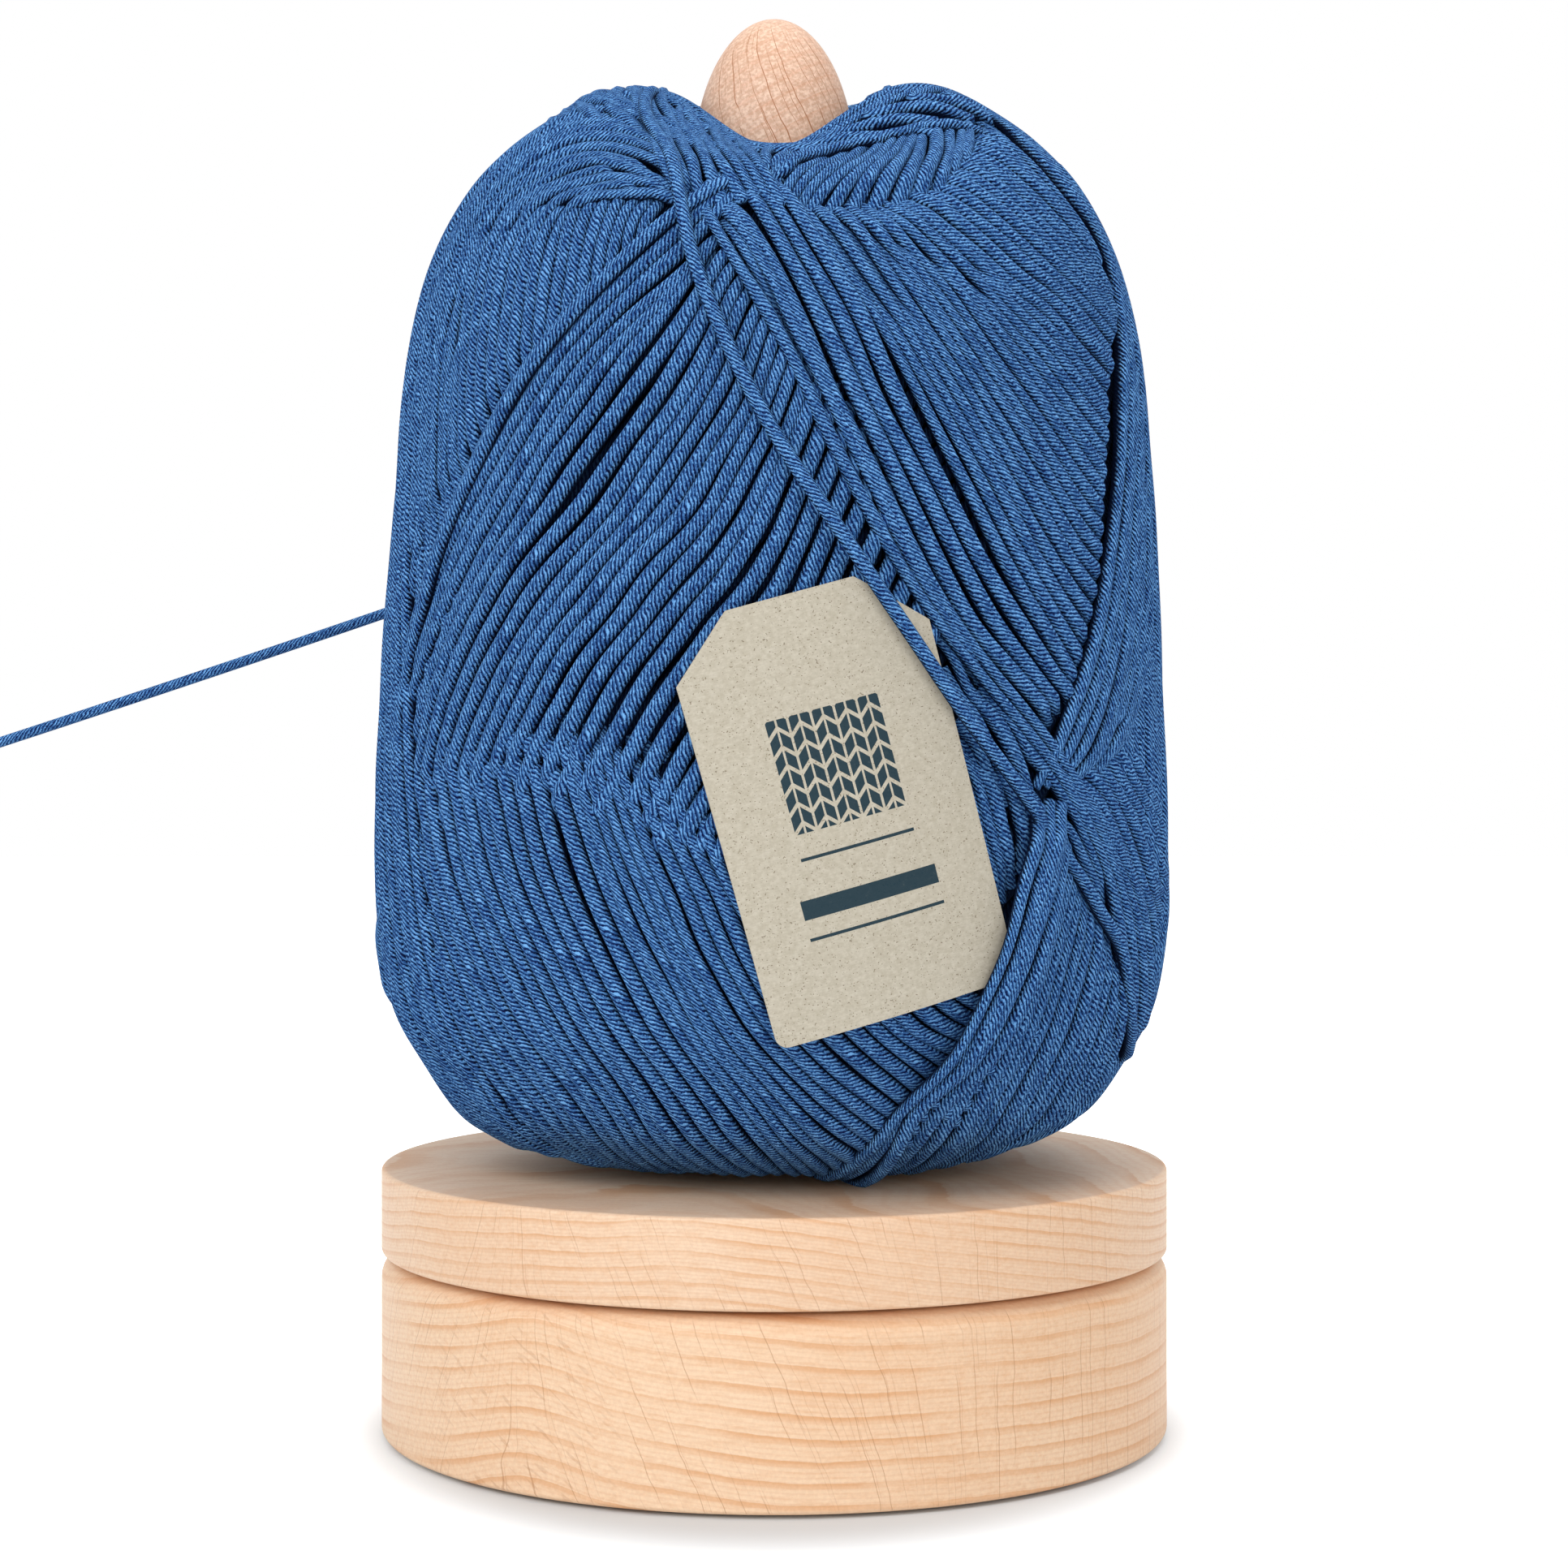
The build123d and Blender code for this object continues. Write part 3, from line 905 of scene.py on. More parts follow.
def wind(name, tubes, material):
    """One mesh piece from the skins of several strands."""
    points, faces, plies, unshaded_shares, start = [], [], [], [], 0
    for skin, quads, ply, unshaded in tubes:
        points.append(skin)
        faces += [[index + start for index in face] for face in quads]
        plies.append(ply + np.array([ply_shift * random.random(), 0.0, 0.0]))
        unshaded_shares.append(unshaded)
        start += len(skin)
    points = np.concatenate(points).tolist()
    # The second attribute says where the yarn's material paints shade on the strands' sides
    attributes = {"ply": np.concatenate(plies), "unshaded": np.concatenate(unshaded_shares)}
    return add_piece(name, points, faces, material, "yarn", attributes)


# Winding at the front: guide lines, traced as pixels of the photograph.
# Each band has its guides, its lift off the form and how far its two ends dip. reach is how
# far it runs on past the guides, and ragged how much further it may, at random. ease is the
# length over which an end dips, spacing lies between its strands, and fullness is a strand's
# radius as a share of its room.
over_all = [
    (822, 112), (830, 183), (838, 246), (845, 290), (858, 335), (877, 372), (897, 419), (922, 480),
    (947, 527), (973, 570), (1002, 622), (1031, 669), (1060, 707), (1086, 748), (1110, 790),
    (1135, 826), (1163, 866), (1187, 905), (1212, 933), (1236, 963), (1260, 989), (1287, 1015),
    (1302, 1040),
]
over_all_end = [
    (1290, 1020), (1308, 1050), (1326, 1075), (1344, 1102), (1361, 1132), (1378, 1170), (1386, 1210),
    (1388, 1262), (1380, 1310),
]
left_edge = [
    [(492, 520), (478, 640), (469, 735), (470, 847), (471, 943), (478, 1050)],
    [(512, 540), (500, 640), (492, 735), (488, 840), (488, 960)],
]
left_dome = [
    [(812, 116), (760, 131), (700, 148), (640, 190), (585, 245), (545, 310), (515, 390), (500, 480),
     (494, 600), (493, 760)],
    [(832, 165), (800, 150), (737, 141), (690, 163), (630, 210), (585, 270), (556, 345), (538, 430),
     (526, 540), (519, 700)],
    [(700, 222), (655, 240), (620, 268), (597, 312), (584, 370), (577, 440), (573, 520), (574, 610)],
    [(710, 236), (682, 252), (655, 280), (638, 325), (628, 380), (623, 440), (622, 520)],
    [(735, 232), (713, 256), (698, 300), (688, 350), (682, 400), (676, 450)],
    [(778, 232), (758, 266), (745, 305), (736, 345), (728, 385)],
    [(815, 240), (798, 270), (786, 300), (778, 330)],
]
dome_top = [
    [(838, 206), (800, 178), (755, 160), (705, 168), (655, 200), (610, 240), (585, 272)],
    [(845, 232), (800, 208), (750, 194), (700, 202), (655, 226), (618, 258), (598, 290)],
    [(850, 247), (805, 228), (755, 221), (710, 228), (668, 248), (640, 276)],
    [(858, 258), (815, 247), (770, 242), (728, 247), (695, 262)],
]
left_front = [
    [(930, 205), (871, 237), (830, 269), (747, 345), (664, 441), (619, 520), (571, 601), (539, 688),
     (520, 751), (501, 831), (491, 911), (486, 985)],
    [(905, 262), (880, 298), (842, 335), (780, 392), (700, 490), (640, 575), (592, 660), (556, 740),
     (528, 810), (507, 880), (497, 965)],
    [(893, 285), (872, 312), (850, 345), (828, 375), (806, 405), (783, 432), (760, 460), (738, 490),
     (715, 522), (695, 555), (675, 588), (655, 620), (635, 652), (612, 690), (590, 722), (570, 757),
     (553, 797), (538, 842), (527, 892), (518, 955)],
    [(915, 335), (902, 365), (887, 400), (872, 430), (855, 462), (838, 490), (820, 520), (800, 552),
     (778, 582), (752, 612), (725, 642), (700, 672), (676, 702), (652, 737), (630, 773), (610, 805),
     (592, 840), (576, 880), (565, 920), (558, 960)],
    [(958, 405), (943, 450), (927, 490), (912, 525), (898, 552), (880, 580), (858, 608), (833, 640),
     (805, 672), (777, 703), (750, 737), (725, 772), (700, 807), (676, 843), (655, 880), (640, 915),
     (630, 955)],
    [(1010, 470), (990, 515), (972, 562), (957, 602), (940, 640), (917, 683), (890, 720), (860, 757),
     (830, 794), (805, 830), (780, 868), (757, 908), (737, 945), (722, 980)],
    [(1060, 555), (1045, 590), (1030, 628), (1015, 665), (1000, 700), (983, 738), (962, 772),
     (935, 806), (905, 842), (878, 878), (855, 912), (832, 950), (812, 985), (795, 1020)],
    [(1115, 660), (1098, 697), (1082, 733), (1063, 770), (1040, 806), (1012, 840), (985, 872),
     (955, 908), (925, 945), (898, 985), (875, 1025), (858, 1060)],
    [(1170, 745), (1150, 785), (1130, 820), (1105, 855), (1075, 890), (1045, 925), (1012, 962),
     (980, 1000), (950, 1045), (930, 1085)],
]
lower_left = [
    [(476, 1050), (480, 1120), (488, 1200), (505, 1268), (540, 1320), (590, 1360), (645, 1396),
     (705, 1424)],
    [(484, 1000), (490, 1060), (500, 1130), (518, 1200), (540, 1260), (570, 1315), (610, 1356),
     (660, 1390), (725, 1425)],
]
loose_loop = [(481, 1080), (473, 1128), (470, 1175), (475, 1222), (492, 1268)]
lower_front = [
    [(487, 985), (490, 1020), (495, 1060), (504, 1105), (519, 1162), (537, 1218), (558, 1275),
     (588, 1325), (628, 1370), (690, 1412)],
    [(510, 960), (515, 1000), (523, 1050), (538, 1105), (560, 1162), (583, 1218), (612, 1275),
     (648, 1330), (692, 1382), (750, 1425)],
    [(560, 955), (568, 1000), (579, 1050), (598, 1105), (620, 1162), (645, 1218), (678, 1275),
     (717, 1330), (757, 1383), (805, 1432)],
    [(620, 955), (630, 1000), (643, 1050), (664, 1105), (687, 1162), (712, 1218), (746, 1275),
     (783, 1330), (819, 1385), (865, 1440)],
    [(700, 935), (708, 975), (722, 1020), (742, 1070), (765, 1125), (787, 1180), (817, 1235),
     (853, 1290), (893, 1345), (935, 1398), (980, 1440)],
    [(774, 965), (784, 1000), (803, 1050), (826, 1100), (847, 1155), (873, 1210), (910, 1265),
     (957, 1320), (1012, 1372), (1065, 1412)],
    [(845, 1010), (862, 1055), (886, 1105), (912, 1160), (943, 1215), (985, 1268), (1035, 1318),
     (1090, 1362)],
    [(915, 1075), (940, 1125), (975, 1180), (1020, 1235), (1075, 1288), (1135, 1335)],
    [(1000, 1130), (1035, 1175), (1080, 1222), (1130, 1263), (1185, 1298)],
    [(1100, 1140), (1145, 1188), (1190, 1226), (1235, 1252)],
]
beside_tag = [
    [(1150, 880), (1172, 930), (1190, 980), (1205, 1030), (1222, 1085), (1230, 1130)],
    [(1190, 912), (1205, 946), (1219, 980), (1231, 1020), (1242, 1060), (1250, 1100)],
    [(1222, 940), (1240, 975), (1255, 1005), (1262, 1040), (1264, 1075)],
    [(1248, 965), (1270, 1000), (1288, 1040)],
]
under_cross = [
    [(1148, 770), (1166, 803), (1187, 836), (1208, 868), (1228, 898), (1248, 930), (1268, 962),
     (1287, 992)],
    [(1165, 830), (1184, 862), (1203, 893), (1222, 922), (1240, 950), (1256, 977)],
    [(1180, 880), (1197, 912), (1214, 942), (1230, 970), (1245, 1000)],
]
cross_filling = [
    [(1212, 850), (1242, 888), (1268, 924), (1292, 960), (1313, 996), (1332, 1034), (1350, 1075),
     (1364, 1120)],
    [(1292, 985), (1312, 1022), (1330, 1060), (1346, 1098), (1360, 1140)],
]
right_cross = [
    [(862, 245), (893, 290), (922, 336), (947, 382), (972, 427), (993, 473), (1014, 519), (1035, 565),
     (1056, 607), (1081, 648), (1106, 688), (1135, 740), (1154, 769), (1180, 808), (1207, 838),
     (1238, 869), (1267, 905), (1296, 943), (1315, 975), (1335, 1010), (1352, 1046), (1367, 1085),
     (1378, 1130), (1381, 1168), (1377, 1233), (1368, 1299)],
    [(893, 235), (922, 273), (952, 323), (977, 369), (997, 415), (1018, 461), (1039, 507), (1060, 550),
     (1085, 598), (1110, 644), (1133, 692), (1158, 740), (1181, 772), (1208, 811), (1238, 849),
     (1269, 888), (1300, 929), (1328, 968), (1352, 1005), (1376, 1045), (1395, 1085), (1408, 1130),
     (1413, 1168), (1411, 1233), (1400, 1290)],
]
right_front = [
    [(915, 228), (943, 264), (971, 311), (996, 362), (1017, 411), (1037, 456), (1059, 501),
     (1083, 548), (1108, 598), (1134, 650), (1158, 700), (1182, 745), (1213, 789), (1246, 828),
     (1275, 866), (1300, 897)],
    [(944, 218), (972, 249), (1003, 300), (1033, 347), (1062, 392), (1085, 440), (1108, 490),
     (1132, 545), (1158, 600), (1184, 652), (1212, 705), (1243, 755), (1275, 805), (1305, 850),
     (1328, 878)],
]
right_front_outer = [
    [(968, 234), (1000, 275), (1030, 315), (1062, 357), (1088, 400), (1112, 445), (1137, 495),
     (1163, 545), (1190, 597), (1217, 648), (1243, 700), (1272, 750), (1302, 800), (1328, 838)],
    [(1036, 250), (1070, 290), (1107, 335), (1140, 380), (1172, 427), (1205, 477), (1237, 527),
     (1265, 575), (1297, 625), (1328, 675), (1357, 722)],
    [(1075, 250), (1113, 290), (1152, 332), (1188, 376), (1220, 420), (1255, 467), (1290, 515),
     (1325, 565), (1362, 615)],
    [(1100, 230), (1150, 268), (1200, 307), (1245, 349), (1288, 392), (1327, 440), (1368, 492)],
    [(1140, 215), (1210, 258), (1272, 314), (1326, 372), (1372, 428)],
    [(1165, 178), (1232, 210), (1288, 262), (1336, 325), (1374, 385)],
    [(1185, 146), (1238, 182), (1290, 234), (1334, 292), (1367, 345)],
]
right_dome = [
    [(1192, 122), (1243, 160), (1295, 222), (1332, 265), (1360, 316), (1372, 352), (1380, 400),
     (1382, 448), (1380, 500), (1378, 560), (1374, 620), (1368, 672), (1362, 720), (1355, 765),
     (1346, 812), (1332, 852), (1317, 882), (1302, 916), (1290, 940)],
    [(1212, 128), (1270, 160), (1325, 217), (1352, 255), (1376, 310), (1389, 350), (1397, 392),
     (1400, 440), (1400, 480), (1398, 536), (1395, 600), (1391, 660), (1388, 712), (1386, 760),
     (1380, 812), (1368, 860), (1352, 905), (1330, 945)],
    [(1400, 430), (1404, 500), (1405, 560), (1407, 620), (1410, 680), (1412, 740), (1411, 795),
     (1402, 845), (1388, 890), (1370, 932)],
]
right_bulge = [
    [(1378, 840), (1380, 900), (1376, 980), (1365, 1040)],
    [(1400, 740), (1408, 830), (1413, 940), (1412, 1050), (1405, 1120)],
    [(1412, 660), (1424, 776), (1441, 892), (1447, 1030), (1450, 1096), (1433, 1179), (1412, 1240)],
]
right_fall = [
    [(1335, 965), (1352, 995), (1370, 1032), (1385, 1069), (1398, 1105), (1408, 1150), (1410, 1200),
     (1404, 1260)],
    [(1364, 930), (1380, 962), (1395, 999), (1409, 1037), (1420, 1078), (1428, 1120), (1424, 1180),
     (1412, 1240)],
    [(1391, 925), (1408, 965), (1424, 1005), (1436, 1043), (1443, 1090), (1440, 1135), (1428, 1190)],
]
lower_right = [
    [(1280, 1000), (1264, 1034), (1252, 1058), (1243, 1080), (1234, 1112), (1222, 1155), (1204, 1203),
     (1170, 1265), (1132, 1322), (1090, 1380), (1030, 1448)],
    [(1313, 990), (1299, 1028), (1285, 1058), (1272, 1086), (1260, 1115), (1247, 1155), (1230, 1205),
     (1195, 1272), (1156, 1332), (1114, 1390), (1058, 1450)],
    [(1322, 1040), (1312, 1080), (1300, 1125), (1288, 1170), (1272, 1220), (1252, 1268), (1228, 1315),
     (1200, 1362), (1168, 1406), (1138, 1440)],
    [(1345, 1100), (1338, 1140), (1328, 1190), (1314, 1240), (1295, 1290), (1272, 1335), (1245, 1378),
     (1208, 1422)],
    [(1368, 1155), (1362, 1200), (1352, 1245), (1336, 1290), (1312, 1335), (1282, 1378), (1255, 1406)],
    [(1388, 1205), (1380, 1255), (1364, 1300), (1340, 1345), (1310, 1386)],
]
crown_left = [
    [(786, 112), (800, 160), (826, 215), (846, 258)],
    [(818, 118), (830, 154), (848, 200), (862, 250)],
    [(838, 135), (856, 178), (878, 215), (890, 245)],
    [(850, 132), (875, 165), (905, 205), (935, 240)],
    [(871, 144), (906, 179), (938, 214), (965, 250)],
]
crown_right = [
    [(935, 192), (960, 184), (1000, 158), (1048, 132), (1110, 114), (1189, 120), (1215, 135)],
    [(935, 222), (960, 216), (1016, 192), (1093, 170), (1160, 156), (1206, 156)],
]
under_crown = [
    [(985, 196), (958, 222), (936, 246)],
    [(1035, 176), (988, 215), (952, 256)],
    [(1093, 160), (1048, 210), (985, 268)],
    [(1115, 155), (1085, 210), (1045, 266)],
    [(1131, 155), (1125, 205), (1100, 258)],
    [(1160, 145), (1163, 200), (1150, 245)],
    [(1184, 144), (1192, 185), (1188, 222)],
]

# Winding that the photograph doesn't show: (azimuth in degrees, share of the run)
behind_shifts = [(0, 0.02), (14, 0.25), (20, 0.5), (12, 0.75), (0, 0.97)]
behind = [[(start + shift, share) for shift, share in behind_shifts] for start in range(58, 291, 10)]
side_under = [
    [(104, 0.95), (97, 0.8), (88, 0.62), (79, 0.42), (73, 0.24), (70, 0.1)],
    [(134, 0.95), (126, 0.8), (117, 0.62), (108, 0.42), (101, 0.24), (98, 0.1)],
]
side_over = [
    [(72, 0.95), (76, 0.8), (84, 0.62), (94, 0.42), (104, 0.24), (109, 0.1)],
    [(98, 0.95), (102, 0.8), (108, 0.62), (117, 0.42), (127, 0.24), (132, 0.1)],
]
crown_back = [
    [(62, 0.9), (95, 0.88), (140, 0.87), (180, 0.868), (220, 0.87), (265, 0.88), (298, 0.9)],
    [(52, 0.975), (95, 0.965), (140, 0.96), (180, 0.958), (220, 0.96), (265, 0.965), (308, 0.975)],
]
collar_outer = [
    (60, 0.948), (95, 0.944), (140, 0.942), (180, 0.942), (220, 0.942), (265, 0.944), (300, 0.948),
]
collar_inner = [
    (56, 0.964), (95, 0.961), (140, 0.96), (180, 0.96), (220, 0.96), (265, 0.961), (304, 0.964),
]
strand_wrap = [(96, 0.8), (118, 0.765), (150, 0.69), (180, 0.615)]
inner_turns = [(0, 0.08), (62, 0.3), (118, 0.55), (176, 0.8), (235, 0.97)]
inner_count = 92
inner_sides = 6
core_inset = 4.6 * mm
last_turn_ease = 30 * mm

front_bands = {
    "left": [
        Band(left_edge, -0.9, (1.5, 1.5)),
        Band(left_dome, 0.0, (1.0, 2.4), ease=(4, 7)),
        Band(dome_top, 0.6, (0.6, 1.8), ragged=(0, 4), ease=(7, 4), spacing=2.6, fullness=0.46),
        Band(crown_left, 1.0, (0.4, 1.2), spacing=2.4, fullness=0.47),
    ],
    "left_front": [
        Band(left_front, 0.0, (2.4, 2.2), reach=(3, 1), ragged=(0, 5), ease=(6, 4), spacing=3.0,
             fullness=0.48),
        Band([left_front[0]], 1.2, (1.6, 1.2)),
    ],
    "lower_front": [
        Band(lower_left, 0.1, (1.6, 1.0), reach=(0, 12), spacing=2.0),
        Band([loose_loop], 1.5, (1.8, 1.8)),
        Band(lower_front, -0.2, (2.4, 1.0), reach=(6, 14), ragged=(5, 0), ease=(9, 7), spacing=2.8,
             fullness=0.46),
        Band(beside_tag, -0.4, (1.6, 1.6)),
    ],
    "right_front": [
        Band(right_cross, 0.8, (1.4, 1.6), fullness=0.47),
        Band(under_cross, -0.1, (1.2, 1.6), fullness=0.47),
        Band(cross_filling, -0.1, (1.2, 1.6)),
        Band(right_front, 0.2, (1.4, 2.0), spacing=2.5, fullness=0.46, ease=(7, 4)),
        Band(right_front_outer, 0.0, (2.2, 1.8), spacing=2.6, fullness=0.47, ease=(7, 3)),
        Band(under_crown, -0.4, (1.8, 2.0)),
    ],
    "right": [
        Band(right_bulge, -0.2, (1.6, 1.6), spacing=2.6),
        Band(right_dome, 0.8, (0.6, 1.4), reach=(0, 3), spacing=2.7, fullness=0.46),
        Band(right_fall, 0.2, (1.2, 2.0), reach=(4, 0), spacing=2.6),
        Band(lower_right, 0.2, (1.6, 0.8), reach=(0, 12), spacing=2.6, fullness=0.47, over_tag=True),
        Band(crown_right, 0.7, (1.6, 0.8), spacing=1.9),
    ],
    "crossings": [
        Band([over_all], 1.6, (1.2, 2.0), spacing=2.0, over_tag=True),
        Band([over_all_end], 1.2, (1.4, 1.6), spacing=2.0),
        Band([lower_right[1]], 1.6, (1.6, 0.6), reach=(0, 10), over_tag=True),
    ],
}
side_bands = [
    Band(side_under, 0.0, (1.8, 1.8), spacing=2.5),
    Band(side_over, 0.8, (2.2, 2.2), spacing=2.4),
]
crown_bands = [
    Band(crown_back, 0.3, (2.0, 2.0)),
    Band([collar_outer], 2.0, (2.6, 2.6), ease=(9, 9)),
    Band([collar_inner], 3.8, (4.4, 4.4), ease=(9, 9)),
]
behind_band = Band(behind, -1.0, (1.0, 1.0), spacing=2.3)
inner_band = Band([], -2.4, (0, 0))
last_turn_band = Band([], 2.2, (5.2, 0), ease=(11, 7))

# Knot: the size of its loop, how far it is drawn out, and its share of the strand's thickness
knot_scale = 0.52 * mm
knot_stretch = 3.2
knot_thickness = 0.42


def strands_of(bands, turn=0.0, from_pixels=True):
    """All the strands of some bands, turned about the axis."""
    made = []
    for band in bands:
        offset = band.lift - yarn_radius
        guides = [run_on(guide(points, from_pixels, offset), band.reach) for points in band.guides]
        for path, room, rank in fill(guides, band.spacing):
            path = run_on(path, [distance * random.random() for distance in band.ragged])
            made.append(Strand(path, band, turn, room, rank))
    return made


def skins(strands):
    return [tube(*strand.centres()) for strand in strands]


def make_inner_layer(material):
    """Half-hidden strands between the core and the bands, with every other point left out."""
    layer = []
    for step in range(inner_count):
        start = 360 * step / inner_count
        path = guide([(start + turn, share) for turn, share in inner_turns], False)
        layer.append(Strand(path, inner_band))
    tubes = []
    for strand in layer:
        centres, normals, _ = strand.centres()
        tubes.append(tube(centres[::2], normals[::2], yarn_radius, inner_sides))
    wind("yarn_inner_layer", tubes, material)


def make_ball():
    """The wound ball: a core all in painted shade, an inner layer dimmed to painted shade, and the bands of
    strands over it.
    """
    yarn = plied_yarn("blue_yarn", 1.0)
    # A copy of the yarn dimmed almost to black, as painted shade for the hidden core and inner layer
    shaded_inner_yarn = plied_yarn("blue_yarn_inner_painted_shade", 0.06)
    points, faces = form_grid(columns=96, rows=90, inset=core_inset)
    # The core reads as wholly facing the ball, so its material paints it all in shade
    fully_shaded = {"ply": np.zeros((len(points), 3)), "unshaded": np.zeros(len(points))}
    core = add_piece("yarn_core", points, faces, shaded_inner_yarn, "yarn", fully_shaded)
    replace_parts(core, "yarn_ball")
    make_inner_layer(shaded_inner_yarn)
    for name, bands in front_bands.items():
        wind("yarn_" + name, skins(strands_of(bands)), yarn)
        wind("yarn_back_" + name, skins(strands_of(bands, pi)), yarn)
    for name, turn in (("right", 0.0), ("left", pi)):
        wind("yarn_side_" + name, skins(strands_of(side_bands, turn, False)), yarn)
    wind("yarn_crown_back", skins(strands_of(crown_bands, from_pixels=False)), yarn)
    under = strands_of([behind_band], from_pixels=False)
    for name, part in (("right", under[0::2]), ("left", under[1::2])):
        wind("yarn_behind_" + name, skins(part), yarn)
    return yarn


def make_last_turn(yarn):
    """The last turn of the ball, which thins and eases into the taut strand's start."""
    centres, normals, radii = Strand(guide(strand_wrap, False), last_turn_band).centres()
    run = lengths(centres)
    ease = np.clip(1 - (run[-1] - run) / last_turn_ease, 0, 1) ** 2
    centres = centres + (np.array(strand_route[0]) - centres[-1]) * ease[:, None]
    radii = radii + (strand_diameter / 2 - radii) * ease
    wind("yarn_last_turn", [tube(centres, normals, radii)], yarn)


def route_line():
    """Points of the smooth line that the strand's route controls."""
    line = bpy.data.curves.new("strand_line", "CURVE")
    line.dimensions = "3D"
    spline = line.splines.new("NURBS")
    spline.points.add(len(strand_route) - 1)
    for point, place in zip(spline.points, strand_route):
        point.co = (*place, 1)
    spline.order_u = 3
    spline.use_endpoint_u = True
    spline.resolution_u = 96
    holder = add_object("strand_line", line)
    sampled = bpy.data.meshes.new_from_object(holder)
    bpy.data.objects.remove(holder)
    return np.array([vertex.co for vertex in sampled.vertices])


def make_knot(end, yarn):
    """The knot on the strand: a loop that crosses itself three times, drawn out along the
    strand's end."""
    direction = end / np.linalg.norm(end)
    sideways = np.array([0.0, 1.0, 0.0])
    turns = np.linspace(0, 2 * pi, 90)
    loop = np.stack([
        np.sin(3 * turns) * knot_stretch,
        np.sin(turns) + 2 * np.sin(2 * turns),
        np.cos(turns) - 2 * np.cos(2 * turns),
    ], -1)
    loop = loop @ np.stack([direction, sideways, np.cross(direction, sideways)]) * knot_scale
    knot_low, knot_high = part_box("yarn_end_knot")
    middle = np.array((knot_low + knot_high) / 2)
    skin = tube(middle + loop, loop + 1e-6, strand_diameter * knot_thickness, packed=False)
    knot = wind("yarn_knot", [skin], yarn)
    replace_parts(knot, "yarn_end_knot")
    return knot


def make_strand(yarn):
    """The taut strand that leaves the ball, and its knot."""
    make_last_turn(yarn)
    path = route_line()
    run = lengths(path)
    at = np.arange(0, run[-1], yarn_step)
    fine = np.stack([np.interp(at, run, column) for column in path.T], -1)
    fine[-1] = path[-1]
    upward = np.tile([0.0, 1.0, 0.0], (len(fine), 1))
    strand = wind("yarn_free_strand", [tube(fine, upward, strand_diameter / 2, packed=False)], yarn)
    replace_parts(strand, "yarn_strand")
    knot = make_knot(path[-1] - path[-2], yarn)


def tag_edge(across):
    """Lower and upper edge of the tag at a place across it."""
    from_side = tag_width / 2 - abs(across)
    low, high = -tag_length / 2, tag_length / 2
    if from_side < tag_corner_round:
        inward = tag_corner_round - from_side
        low += tag_corner_round - (tag_corner_round ** 2 - inward ** 2) ** 0.5
    if from_side < tag_chamfer_width:
        high -= tag_chamfer_length * (1 - from_side / tag_chamfer_width)
    return low, high


def tag_point(across, along, depth):
    """A place on the bent and tilted tag, in metres."""
    tilt, azimuth = radians(tag_tilt), radians(tag_azimuth)
    sideways = across * cos(tilt) - along * sin(tilt)
    upward = across * sin(tilt) + along * cos(tilt)
    outward = ((tag_bend_radius + depth) ** 2 - sideways ** 2) ** 0.5
    x = sideways * cos(azimuth) + outward * sin(azimuth)
    y = sideways * sin(azimuth) - outward * cos(azimuth)
    return (x * mm, y * mm, (tag_height + upward) * mm)


def make_tag():
    """The card, bent round the ball, a little thick, with its print on the front."""
    half = tag_width / 2
    inner = half - tag_corner_round
    corner = [half - tag_corner_round * (1 - sin(radians(turn))) for turn in (90, 70, 50, 30, 15)]
    middle = list(np.linspace(-inner, inner, tag_mesh_columns))
    across_places = [-place for place in corner] + middle + corner[::-1]
    rows, columns = tag_mesh_rows, len(across_places)
    points, cards = [], []
    for depth in (tag_thickness, 0.0):
        for across in across_places:
            for along in np.linspace(*tag_edge(across), rows):
                points.append(tag_point(across, along, depth))
                cards.append((across, along, 1.0 if depth else 0.0))
    back = columns * rows
    faces = []
    for column in range(columns - 1):
        for row in range(rows - 1):
            here = column * rows + row
            quad = (here, here + rows, here + rows + 1, here + 1)
            faces.append(quad)
            faces.append(tuple(index + back for index in quad[::-1]))
    border = [column * rows for column in range(columns)]
    border += [(columns - 1) * rows + row for row in range(1, rows)]
    border += [column * rows + rows - 1 for column in range(columns - 2, -1, -1)]
    border += [row for row in range(rows - 2, 0, -1)]
    for here, ahead in zip(border, border[1:] + border[:1]):
        faces.append((here, here + back, ahead + back, ahead))
    tag = add_piece("kraft_tag", points, faces, kraft_paper(), "yarn", {"card": cards})
    tag.data.set_sharp_from_angle(angle=radians(crisp_angle))
    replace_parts(tag, "paper_tag")


def dress_hardware():
    """Materials for the nodes that keep their CAD shape."""
    steel = machined_metal("bearing_steel", colour(205, 207, 210), 0.16, 9000)
    zinc = machined_metal("zinc_plate", colour(196, 198, 204), 0.34, 4000)
    nickel = machined_metal("magnet_nickel", colour(214, 212, 205), 0.2, 2500)
    nylon = moulded("cage_nylon", colour(222, 212, 186), 0.45, 900)
    rubber = moulded("pad_rubber", colour(38, 37, 36), 0.7, 1500)
    looks = {
        steel: ["bearing_outer_ring", "bearing_inner_ring", "bearing_balls"],
        zinc: ["axle_bolt", "spacer_washer", "nut_washer", "lock_nut"],
        nickel: ["plate_magnet", "spindle_magnet"],
        nylon: ["ball_cage"],
        rubber: [f"rubber_foot_{number}" for number in range(1, 5)],
    }
    for material, names in looks.items():
        for name in names:
            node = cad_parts[name]
            node.data.materials.clear()
            node.data.materials.append(material)


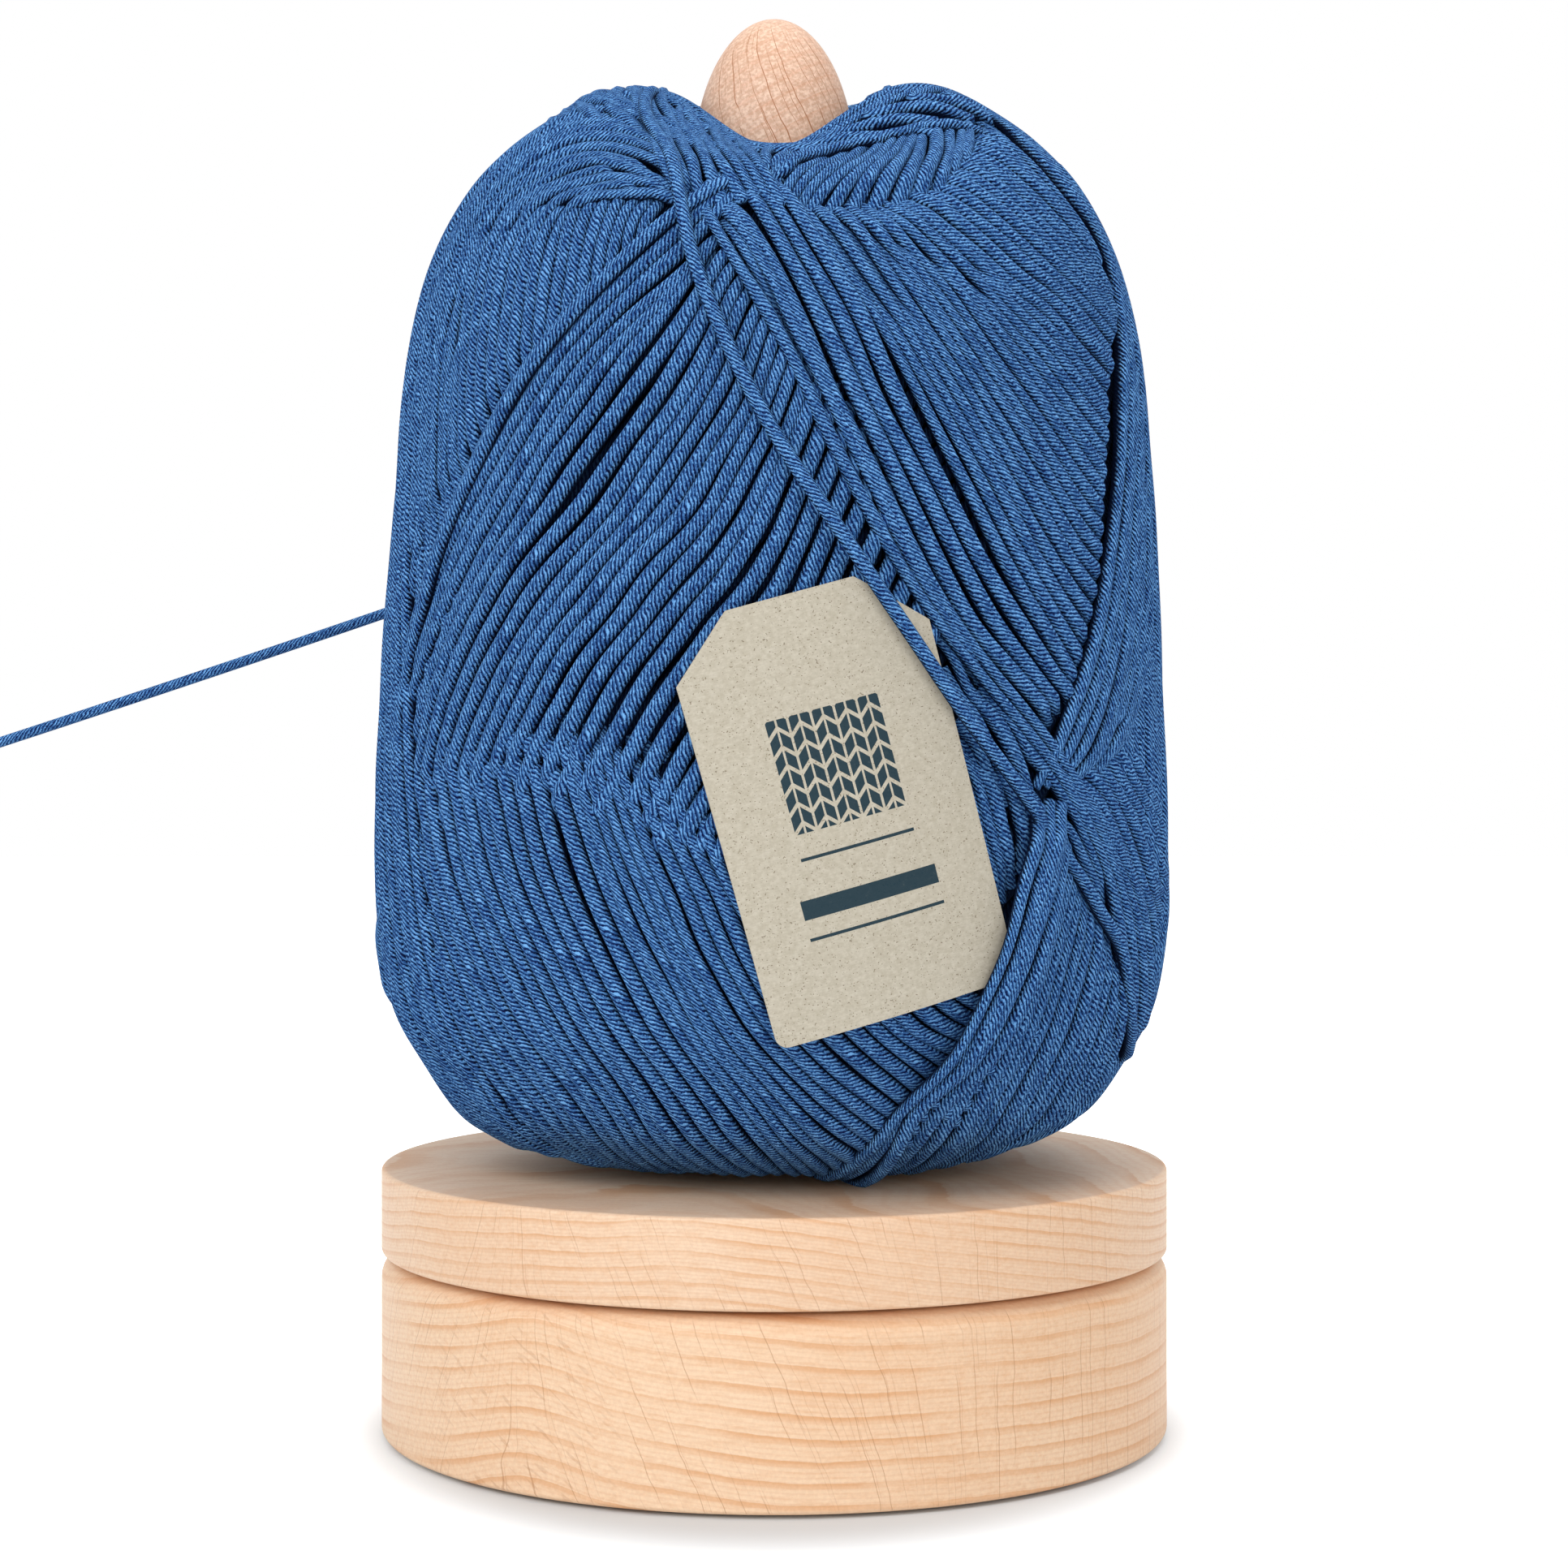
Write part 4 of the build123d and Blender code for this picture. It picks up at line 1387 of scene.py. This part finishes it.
# Surroundings: the floor's own glow, painted light, starts past the shadow, at shares of the discs'
# radius, so the floor is greyer near the discs, and the world's light falls off from the horizon upwards
floor_half = 3.0
floor_tone = (0.69, 0.716, 0.738, 1)
white = (1, 1, 1, 1)
shadow_squash = 1.25
shadow_shares = (1.05, 1.6)
horizon_light = 0.78
zenith_light = 0.36
zenith_height = 0.6


def make_floor():
    """A white floor whose glow, painted light, fades out near the discs, where it shows a soft shadow."""
    g = material_graph("floor_white")
    x, y, _ = g.parts(g.place())
    squashed = g.vector(x * shadow_squash, y, 0.0)
    away = g.value("Value", "ShaderNodeVectorMath", {"operation": "LENGTH"}, Vector=squashed)
    start, end = (share * disc_radius for share in shadow_shares)
    # Painted light: a glow seen by the camera, none near the discs, so the floor there is greyer
    strength = g.seen() * g.smooth(away, start, end)
    both = g.node("ShaderNodeAddShader")
    g.put(both.inputs[0], g.value(0, "ShaderNodeBsdfDiffuse", Color=floor_tone))
    g.put(both.inputs[1], g.value(0, "ShaderNodeEmission", Color=white, Strength=strength))
    g.node("ShaderNodeOutputMaterial", Surface=Value(g, both.outputs[0]))
    near, far = -floor_half, floor_half
    mesh = bpy.data.meshes.new("floor")
    mesh.from_pydata([(near, near, 0), (far, near, 0), (far, far, 0), (near, far, 0)], [], [(0, 1, 2, 3)])
    mesh.materials.append(g.owner)
    add_object("floor", mesh)


def make_world():
    """A white backdrop, and a soft light from all round, less from above."""
    world = bpy.data.worlds.new("studio")
    bpy.context.scene.world = world
    g = Graph(world)
    up = g.parts(g.place("Generated"))[2]
    light = g.smooth(up, 0.0, zenith_height, horizon_light, zenith_light, "LINEAR")
    strength = g.smooth(g.seen(), 0.0, 1.0, light, 1.0, "LINEAR")
    g.surface("ShaderNodeBackground", "ShaderNodeOutputWorld", Color=white, Strength=strength)


def make_lamp(name, place, target, size, power):
    """A square soft box that faces a target."""
    data = bpy.data.lights.new(name, "AREA")
    data.size = size
    data.energy = power
    lamp = add_object(name, data)
    lamp.location = place
    lamp.rotation_euler = (Vector(target) - Vector(place)).to_track_quat("-Z", "Y").to_euler()


def write_sizes():
    """Only defines a helper that turns a box into plain numbers."""
    def fully_shaded(box):
        return [[float(value) for value in corner] for corner in box]


make_camera()
make_world()
make_floor()

# Lamps: place, target and size in metres, and power in watts
make_lamp("key", (-0.55, -0.85, 1.05), (0, 0, 0.09), 0.7, 4.6)
make_lamp("top", (0.25, 0.05, 1.3), (0, 0, 0.05), 1.0, 6.8)
make_lamp("front", (0.45, -1.35, 0.45), (0, 0, 0.1), 0.8, 5.4)
make_lamp("low", (-1.1, -0.8, 0.6), (0, 0, 0.04), 0.8, 4.0)
bpy.context.scene.view_settings.view_transform = "Standard"

make_base()
make_plate()
make_spindle()
yarn_material = make_ball()
make_strand(yarn_material)
make_tag()
dress_hardware()

write_sizes()
